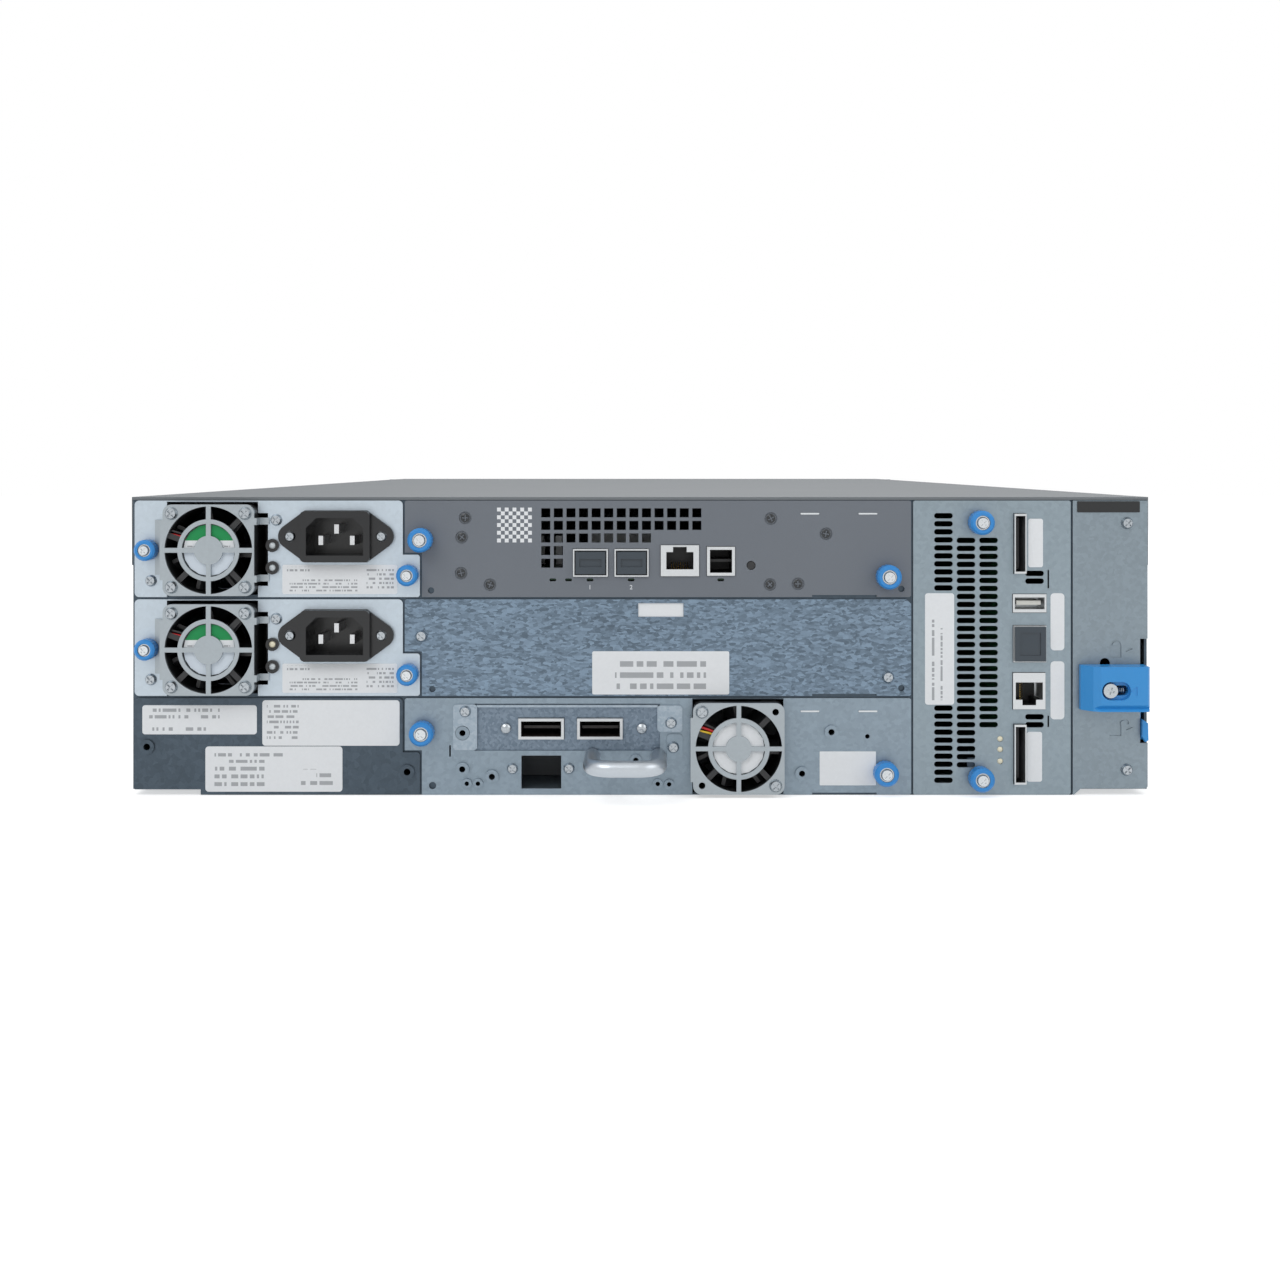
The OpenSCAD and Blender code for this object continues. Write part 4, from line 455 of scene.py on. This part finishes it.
for name, body, x, z, w, h, corner, prints in (
    ("supply_label_1", "psu_1", supply[1].x + 64.9, supply[1].z + 1.3, 50.5, 12.9, 0.8,
     [(3, 1.2, 33, 7.2, 1.5), (37, 2.5, 49, 11, 1.9), (2, 10, 12, 12, 1.9)]),
    ("supply_label_2", "psu_2", supply[2].x + 64.9, supply[2].z + 1.3, 50.5, 12.9, 0.8,
     [(3, 1.2, 33, 7.2, 1.5), (37, 2.5, 49, 11, 1.9), (2, 10, 12, 12, 1.9)]),
    ("panel_label_a", "chassis", panel_x + 4.4, 26.8, 50.3, 12.8, 1.2,
     [(3, 7, 34, 12, 2.9), (4, 1.6, 28, 4.6, 3.0)]),
    ("panel_label_b", "chassis", panel_x + 57.1, 21.8, 60.3, 20.0, 1.4,
     [(2, 3, 16, 18.6, 2.3)]),
    ("panel_label_c", "chassis", panel_x + 32.1, 1.6, 60.2, 19.9, 1.4,
     [(4, 15.5, 34, 18, 2.9), (4, 2.5, 26, 14, 3.4), (42, 3, 56, 10, 3.4)]),
    ("cover_label", "chassis", bay_x + 82.3, cover_z + 0.6, 60.2, 19.0, 0.8,
     [(10, 2.4, 50, 17, 4.9)]),
    ("cover_window_label", "chassis", bay_x + 102.5, cover_z + 34.7, 19.9, 6.0, 0.2, []),
    ("sled_label", "sled", bay_x + 182.2, sled_z + 4.1, 24.7, 14.9, 0.3, []),
    ("module_label_top", "controller", desk_x + 50.5, 100.2, 6.5, 21.3, 1.0, []),
    ("port_label_top", "controller", desk_x + 60.3, 63.7, 6.1, 25.1, 1.6, []),
    ("port_label_bottom", "controller", desk_x + 60.3, 33.4, 6.1, 25.5, 1.6, []),
    ("module_label_bottom", "controller", desk_x + 49.9, 6.0, 6.7, 21.9, 1.0, []),
    ("controller_label", "controller", desk_x + 5.2, 39.8, 12.8, 49.0, 1.2,
     [(3, 2, 5.2, 38, 2.2), (6.8, 2, 8.6, 34, 1.8)]),
):
    label = pane(name, x, z, x + w, z + h, corner, 0.65 if "window" in name else 0.05, 0.17)
    label.data.materials.append(
        paper(name + "_paper", *[(x + a, z + b, x + c, z + d, p) for a, b, c, d, p in prints]).owner)
    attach(label, body)

# ---------------------------------------------------------------- ports
# Tinned cages soldered to green boards. The modular jacks are black inside with eight
# gilt contacts, and the data sockets on the drive's bracket are dark behind bright rims.


def layer(graph, axis, low, high):
    """1 between two places along an axis of the object's coordinates, in millimetres."""
    place = graph.node("ShaderNodeSeparateXYZ", None, graph.here, out="XYZ".index(axis))
    return (place > low) & (place < high)


def metal_and(graph, metal, metal_colour, other, metal_rough=0.3, other_rough=0.45):
    """Bare metal where the mask is 1, and another finish elsewhere."""
    grain = graph.node("ShaderNodeTexNoise", None, Vector=graph.here, Scale=1.7, Detail=3.0)
    bright = tint(graph, grain, shade(metal_colour, 0.9), shade(metal_colour, 1.1))
    graph.set(
        Base_Color=tint(graph, metal, other, bright),
        Metallic=metal * 0.9,
        Roughness=metal * (metal_rough - other_rough) + grain * 0.08 + (other_rough - 0.04),
    )
    bump(graph, grain, 0.01)


rear_mm = rear / mm
tin = rgb(196, 199, 201)
soot = rgb(16, 17, 19)
resist = rgb(36, 92, 58)
service = (bay_x + 112.4, bridge_z + 9.2, bay_x + 129.2, bridge_z + 22.8)
jacks = {"service": service,
         "management": (desk_x + 43.7, 37.9, desk_x + 57.9, 53.9),
         "diagnostic": (desk_x + 43.9, 58.6, desk_x + 58.3, 74.6)}


def inside(graph, x0, z0, x1, z1, margin):
    return within(graph, x0 + margin, z0 + margin, x1 - margin, z1 - margin)


def deep(graph, low, high):
    """1 between two depths behind the plates' outer plane."""
    return layer(graph, "Y", rear_mm + low, rear_mm + high)


bridge_parts = finish("bridge_board_parts", resist, 0.4)
board = (layer(bridge_parts, "Z", bridge_z + 7.1, bridge_z + 8.85)
         & layer(bridge_parts, "Y", rear_mm + 2.4, 0))
sas_out = (bay_x + 132.7, bridge_z + 9.4, bay_x + 145, bridge_z + 22.1)
hollow = ((inside(bridge_parts, *service, 1.5) & deep(bridge_parts, -0.6, 30))
          | (inside(bridge_parts, *sas_out, 1.2) & deep(bridge_parts, 1.2, 30)))
metal_and(bridge_parts, 1 - (board | hollow), tin, tint(bridge_parts, hollow, resist, soot))
dress(bridge_parts.owner, "bridge_board")

desk_parts = finish("controller_board_parts", resist, 0.4)
board = (layer(desk_parts, "X", desk_x + 41.7, desk_x + 43.45)
         & layer(desk_parts, "Y", rear_mm + 2.4, 0))
hollow = deep(desk_parts, -0.6, 30) & (
    inside(desk_parts, *jacks["management"], 1.6) | inside(desk_parts, *jacks["diagnostic"], 1.6))
for z in (5.1, 97.5):
    hollow = hollow | (inside(desk_parts, desk_x + 44.1, z, desk_x + 49.3, z + 26.2, 0.6)
                       & deep(desk_parts, -1.6, 20))
tongue = within(desk_parts, desk_x + 45.6, 83.5, desk_x + 56.5, 85.5) & deep(desk_parts, 1.4, 13)
not_metal = tint(desk_parts, tongue, tint(desk_parts, hollow, resist, soot), rgb(214, 214, 208))
metal_and(desk_parts, 1 - (board | hollow | tongue), tin, not_metal)
dress(desk_parts.owner, "controller_board")

bracket = finish("bracket_parts", rgb(108, 122, 136), 0.42)
first, second = ((bay_x + x, sled_z + 24.4, bay_x + x + 20, sled_z + 33.5) for x in (49.9, 75.7))
sockets = inside(bracket, *first, -0.1) | inside(bracket, *second, -0.1)
caves = (inside(bracket, *first, 1.1) | inside(bracket, *second, 1.1)) & deep(bracket, -0.7, 30)
# The raised ears and folded strip at the outer plane are painted paler, and the recessed plate behind
# them darker: painted light on the raised faces and painted shade in the recess, on one zinc sheet.
raised = deep(bracket, -3, 0.6)
grain = bracket.node("ShaderNodeTexVoronoi", None, Vector=bracket.here, Scale=0.9, out="Color")
crystal = bracket.node("ShaderNodeSeparateColor", None, grain)
plain = tint(bracket, crystal, rgb(98, 112, 126), rgb(122, 136, 150))
pale = tint(bracket, crystal, rgb(142, 156, 168), rgb(160, 172, 182))
sheet = tint(bracket, raised, plain, pale)
bracket.set(
    Base_Color=tint(bracket, caves, tint(bracket, sockets, sheet, tin), rgb(38, 30, 28)),
    Metallic=0.8 - caves * 0.8,
    Roughness=crystal * 0.1 + 0.36,
)
bump(bracket, crystal, 0.01)
dress(bracket.owner, "sas_bracket")


def tube(name, path, radius, sides=10):
    """A round wire: a circle carried along a path of points, square to its direction,
    closed by a face at each end. Sizes in millimetres."""
    path = np.array(path, float)
    ahead = np.gradient(path, axis=0)
    ahead /= np.linalg.norm(ahead, axis=1)[:, None]
    side = np.cross(ahead, [0.12, 0.3, 0.95])
    side /= np.linalg.norm(side, axis=1)[:, None]
    lift = np.cross(ahead, side)
    turn = np.arange(sides) * 2 * math.pi / sides
    ring = side[:, None] * np.cos(turn)[:, None] + lift[:, None] * np.sin(turn)[:, None]
    return skin(name, (path[:, None] + radius * ring) * mm, caps=(True, True))


def joined(name, parts):
    """Several meshes made one object."""
    whole = bpy.data.meshes.new(name)
    points, faces = [], []
    for part in parts:
        start = len(points)
        points += [tuple(v.co) for v in part.data.vertices]
        faces += [[start + i for i in p.vertices] for p in part.data.polygons]
        bpy.data.objects.remove(part)
    whole.from_pydata(points, [], faces)
    made = bpy.data.objects.new(name, whole)
    bpy.context.scene.collection.objects.link(made)
    return made


def coat(piece, material, body, slot, smooth=False):
    """Gives a new piece its material and the body it rides on. The slot is not used."""
    piece.data.materials.append(material)
    if smooth:
        piece.data.polygons.foreach_set("use_smooth", [True] * len(piece.data.polygons))
    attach(piece, body)
    return piece


# The mains inlets are glossy black with plated blades
for unit in (1, 2):
    low, high = (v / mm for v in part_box(f"psu_{unit}_inlet"))
    mid_x, mid_z = high.x - 25.35, high.z - 11.4
    inlet = finish(f"inlet_{unit}_parts", rgb(14, 16, 19), 0.22)
    earth, live, neutral = (
        within(inlet, mid_x + x - 1.1, mid_z + z - 2.1, mid_x + x + 1.1, mid_z + z + 2.1)
        for x, z in ((0, 3.2), (-6.9, -1.8), (6.9, -1.8))
    )
    metal_and(inlet, (earth | live | neutral) & deep(inlet, -0.1, 14.9),
              rgb(200, 202, 204), rgb(14, 16, 19), other_rough=0.24)
    dress(inlet.owner, f"psu_{unit}_inlet")

# The carriage of the transport lock is blue, with the steel head of its shoulder screw
low, high = (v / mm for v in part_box("lock_slider"))
carriage = finish("carriage_parts", rgb(48, 140, 208), 0.34)
pin = disc(carriage, low.x + 11.4, low.z + 9, 3.8) & deep(carriage, -12, 0.5)
metal_and(carriage, pin, rgb(176, 182, 186), rgb(48, 140, 208), metal_rough=0.28, other_rough=0.34)
dress(carriage.owner, "lock_carriage")

gilt = zinc("gilt_contacts", rgb(214, 178, 96), 0.5, 0.06, rough=0.3, metal=1.0)
for name, body in (("service", "bridge"), ("management", "controller")):
    x0, z0, x1, z1 = jacks[name]
    mid_x, mid_z = (x0 + x1) / 2, (z0 + z1) / 2
    pins = []
    for k in range(8):
        step = (k - 3.5) * 1.02
        slope = ((1.0, 0.0), (2.0, 0.7), (7.5, 2.6))
        if name == "service":
            path = [(mid_x + step, rear_mm + d, mid_z - 3.7 + r) for d, r in slope]
        else:
            path = [(mid_x - 3.7 + r, rear_mm + d, mid_z + step) for d, r in slope]
        pins.append(tube(f"pin_{k}", path, 0.2, 6))
    coat(joined(name + "_contacts", pins), gilt, body, "port_metal")

# ---------------------------------------------------------------- screw heads and rivets
# The bridge's case is closed by black screws sunk in its face; the socket carrier on the
# drive's bracket is held by domed rivets.


def head(name, x, z, radius, depth, rise, recess=0.0, turn=0.0, rings=9, sides=32):
    """A domed head: height falls with the square of the distance from the middle; a
    recess of two crossed bars is pressed in it. Sizes in millimetres."""
    r = radius * np.linspace(0.02, 1, rings)[:, None]
    a = np.arange(sides)[None] * 2 * math.pi / sides
    u, v = r * np.cos(a - turn), r * np.sin(a - turn)
    bar = 0.17 * radius
    arm = (np.minimum(abs(u), abs(v)) < bar) & (np.maximum(abs(u), abs(v)) < 0.68 * radius)
    height = rise * (1 - (r / radius) ** 2) - recess * arm
    grid = np.stack([x + r * np.cos(a), rear_mm + depth - height, z + r * np.sin(a)], -1)
    back = grid[-1:].copy()
    back[..., 1] += 0.3
    return skin(name, np.concatenate([grid, back]) * mm, caps=(True, True))


black_steel = finish("black_steel", rgb(40, 42, 45), 0.3, 0.7)
grain = black_steel.node("ShaderNodeTexNoise", None, Vector=black_steel.here, Scale=3.0, Detail=3.0)
black_steel.set(Base_Color=tint(black_steel, grain, rgb(28, 30, 32), rgb(78, 80, 82)),
                Roughness=grain * 0.2 + 0.2)
bump(black_steel, grain, 0.02)
sunk = [(26.5, 34.8), (25, 26.3), (24.7, 10.5), (37.4, 5.4),
        (160.8, 34.5), (185, 27.8), (160.4, 5.5), (172.7, 5.8)]
coat(joined("bridge_case_screws", [
    head(f"sunk_{k}", bay_x + x, bridge_z + z, 2.0, 0.1, 0.45, 0.5, k * 0.9)
    for k, (x, z) in enumerate(sunk)
]), black_steel.owner, "bridge", "screw_steel")
coat(joined("bracket_rivets", [
    head(f"rivet_{k}", bay_x + x, sled_z + 29, 2.3, 0.2, 1.0) for k, x in enumerate((44.3, 104.1))
]), screw_steel, "sled", "screw_steel", smooth=True)

# Light-pipe lenses: clear domes in the black collars beside the inlets, the upper one of
# the second supply lit, and three lit windows at the foot of the controller
clear_lens = moulded("clear_lens", rgb(196, 204, 208), 0.12, relief=0.002)
lit_lens = moulded("lit_lens", rgb(232, 226, 200), 0.2, relief=0.002)
for unit in (1, 2):
    for k, z in enumerate((22.7, 12.9)):
        dome = head(f"pipe_lens_{unit}_{k}", supply[unit].x + 60.7, supply[unit].z + z,
                    1.58, -0.68, 0.8)
        coat(dome, lit_lens if (unit, k) == (2, 0) else clear_lens, f"psu_{unit}",
             "black_plastic", smooth=True)
coat(joined("desk_lenses", [
    head(f"desk_lens_{k}", desk_x + 38.2, z, 1.25, 0.3, 0.5) for k, z in enumerate((24.8, 20.2, 15.0))
]), lit_lens, "controller", "black_plastic", smooth=True)

# ---------------------------------------------------------------- fan stickers and wires
# A round sticker on each fan's motor seat, behind the finger guard, and the wires that
# cross the air gap beside one of the struts.
fans = {}
for unit in ("psu_1", "psu_2", "sled"):
    low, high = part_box(unit + "_fan_frame")
    fans[unit] = ((low.x + high.x) / 2 / mm, (low.z + high.z) / 2 / mm)
seat_depth = (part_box("psu_1_fan_guard")[0].y / mm - rear_mm) + 1.5
for unit, (x, z) in fans.items():
    sticker = pane(unit + "_fan_sticker", x - 11.3, z - 11.3, x + 11.3, z + 11.3, 11.3,
                   seat_depth, 0.07, 0.02)
    lot = paper(unit + "_sticker", *([] if unit == "sled" else [
        (x - 9.5, z + 1.3, x + 9.5, z + 2.6, 1.3), (x - 8, z - 9, x + 8, z - 1.4, 2.2)]))
    if unit != "sled":
        printed = Quantity(lot, lot.shader.inputs["Base Color"].links[0].from_socket)
        lower = tint(lot, layer(lot, "Z", z - 20, z - 1), printed, rgb(206, 216, 226))
        lot.set(Base_Color=tint(lot, layer(lot, "Z", z + 4.2, z + 20), lower, rgb(26, 140, 78)))
    coat(sticker, lot.owner, unit, "plate_sheet")
    hues = [("red", rgb(196, 30, 34)), ("black", rgb(24, 24, 26))]
    if unit == "sled":
        hues = [("yellow", rgb(226, 190, 50)), *hues]
    for k, (hue, colour) in enumerate(hues):
        lean = math.radians((151 if unit == "sled" else 153) - k * 5.5)
        away = np.linspace(11.2, 19.25, 7)
        swing = lean + 0.012 * (away - 11)
        wire = tube(f"{unit}_wire_{hue}", np.stack([
            x + away * np.cos(swing),
            rear_mm + seat_depth + 0.75 + 0.2 * np.sin(away),
            z + away * np.sin(swing),
        ], -1), 0.55)
        sleeve = moulded(f"{unit}_{hue}_sleeve", colour, 0.35)
        coat(wire, sleeve, unit, "black_plastic", smooth=True)

# ---------------------------------------------------------------- small marks
# Bright sheets behind the punched slits, a painted highlight in them, a bare black plate on
# the lock panel, a plain white check on the bridge, port numbers and the lit display at the front.
# The sheet behind each slit is brighter than the shaded inside of the case: a painted highlight.
slit_back = zinc("slit_back", rgb(214, 218, 221), 0.8, 0.05, rough=0.35, metal=0.5)
for body, z in (("bridge", bridge_z), ("sled", sled_z)):
    coat(joined(body + "_slit_backs", [
        pane(f"slit_{x}", bay_x + x + 0.05, z + 36.25, bay_x + x + 8.25, z + 36.95, 0.3, 0.9, 0.95)
        for x in (173.8, 199.3)]), slit_back, body, "plate_sheet")
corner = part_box("lock_panel")[1] / mm
badge = pane("bare_badge", corner.x - 31, corner.z - 5.2, corner.x - 3.5, corner.z - 0.3,
             0.4, 0.05, 0.4)
coat(badge, moulded("badge_black", rgb(20, 22, 24), 0.3), "chassis", "black_plastic")

white_ink = moulded("white_ink", rgb(225, 228, 231), 0.45)
check = []
for row in range(9):
    for column in range(9):
        if (row + column) % 2 == 0:
            x, z = bay_x + 40.5 + column * 1.7, bridge_z + 24 + row * 1.7
            check.append(pane("square", x, z, x + 1.7, z + 1.7, 0.05, 0.02, 0.05, 0.01))
coat(joined("bridge_check", check), white_ink, "bridge", "bridge_paint")


def word(name, text, x, z, height, body, material, depth=0.0, turn=0.0, slot="bridge_paint"):
    """Lettering of a height in millimetres, standing on (x, z), raised a hair off its plate."""
    letters = bpy.data.curves.new(name, "FONT")
    letters.body, letters.size, letters.align_x = text, height * 1.38, "CENTER"
    letters.extrude = 0.03
    holder = bpy.data.objects.new(name, letters)
    bpy.context.scene.collection.objects.link(holder)
    bpy.context.view_layer.update()
    mesh = bpy.data.meshes.new_from_object(holder)
    bpy.data.objects.remove(holder)
    co = np.empty(len(mesh.vertices) * 3)
    mesh.vertices.foreach_get("co", co)
    a, b, c = co.reshape(-1, 3).T
    co = np.stack([x + a * math.cos(turn) - b * math.sin(turn), rear_mm + depth - c,
                   z + a * math.sin(turn) + b * math.cos(turn)], -1) * mm
    mesh.vertices.foreach_set("co", co.ravel())
    made = bpy.data.objects.new(name, mesh)
    bpy.context.scene.collection.objects.link(made)
    return coat(made, material, body, slot)


# The front: a dark display with a few lines of marks, and a row of status lights
front = finish("operator_parts", rgb(30, 32, 35), 0.3, Emission_Strength=1.0)
up = front.node("ShaderNodeSeparateXYZ", None, front.here, out=2)
line = (up - 57) / 9.5
height = front.reckon("FRACT", line)
mark = front.node("ShaderNodeCombineXYZ", None, front.reckon(
    "FLOOR", front.node("ShaderNodeSeparateXYZ", None, front.here) / 7), front.reckon("FLOOR", line))
chance = front.node("ShaderNodeTexWhiteNoise", None, mark)
lines = (height > 0.36) & (height < 0.62) & (chance > 0.3) & within(front, -45.5, 57, 45.5, 95)
glow = tint(front, lines, rgb(0, 0, 0), rgb(118, 160, 190))
colour = tint(front, within(front, -56.1, 53.9, 56.1, 104.1), rgb(36, 38, 41), rgb(10, 13, 18))
green_lit, amber_out, blue_out = rgb(60, 190, 90), rgb(70, 60, 34), rgb(34, 60, 84)
# Every light glows at half its colour, the unlit amber and blue ones too: on these the glow is
# painted.
for k, hue in enumerate((green_lit, green_lit, amber_out, amber_out, blue_out)):
    lamp = disc(front, 11 * k - 46, 42, 1.7)
    colour, glow = tint(front, lamp, colour, hue), tint(front, lamp, glow, shade(hue, 0.5))
front.set(Base_Color=colour, Emission_Color=glow)
dress(front.owner, "operator_panel")

word("port_number_1", "1", bay_x + 81.3, bridge_z + 3.4, 2.0, "bridge", white_ink)
word("port_number_2", "2", bay_x + 99.4, bridge_z + 3.4, 2.0, "bridge", white_ink)
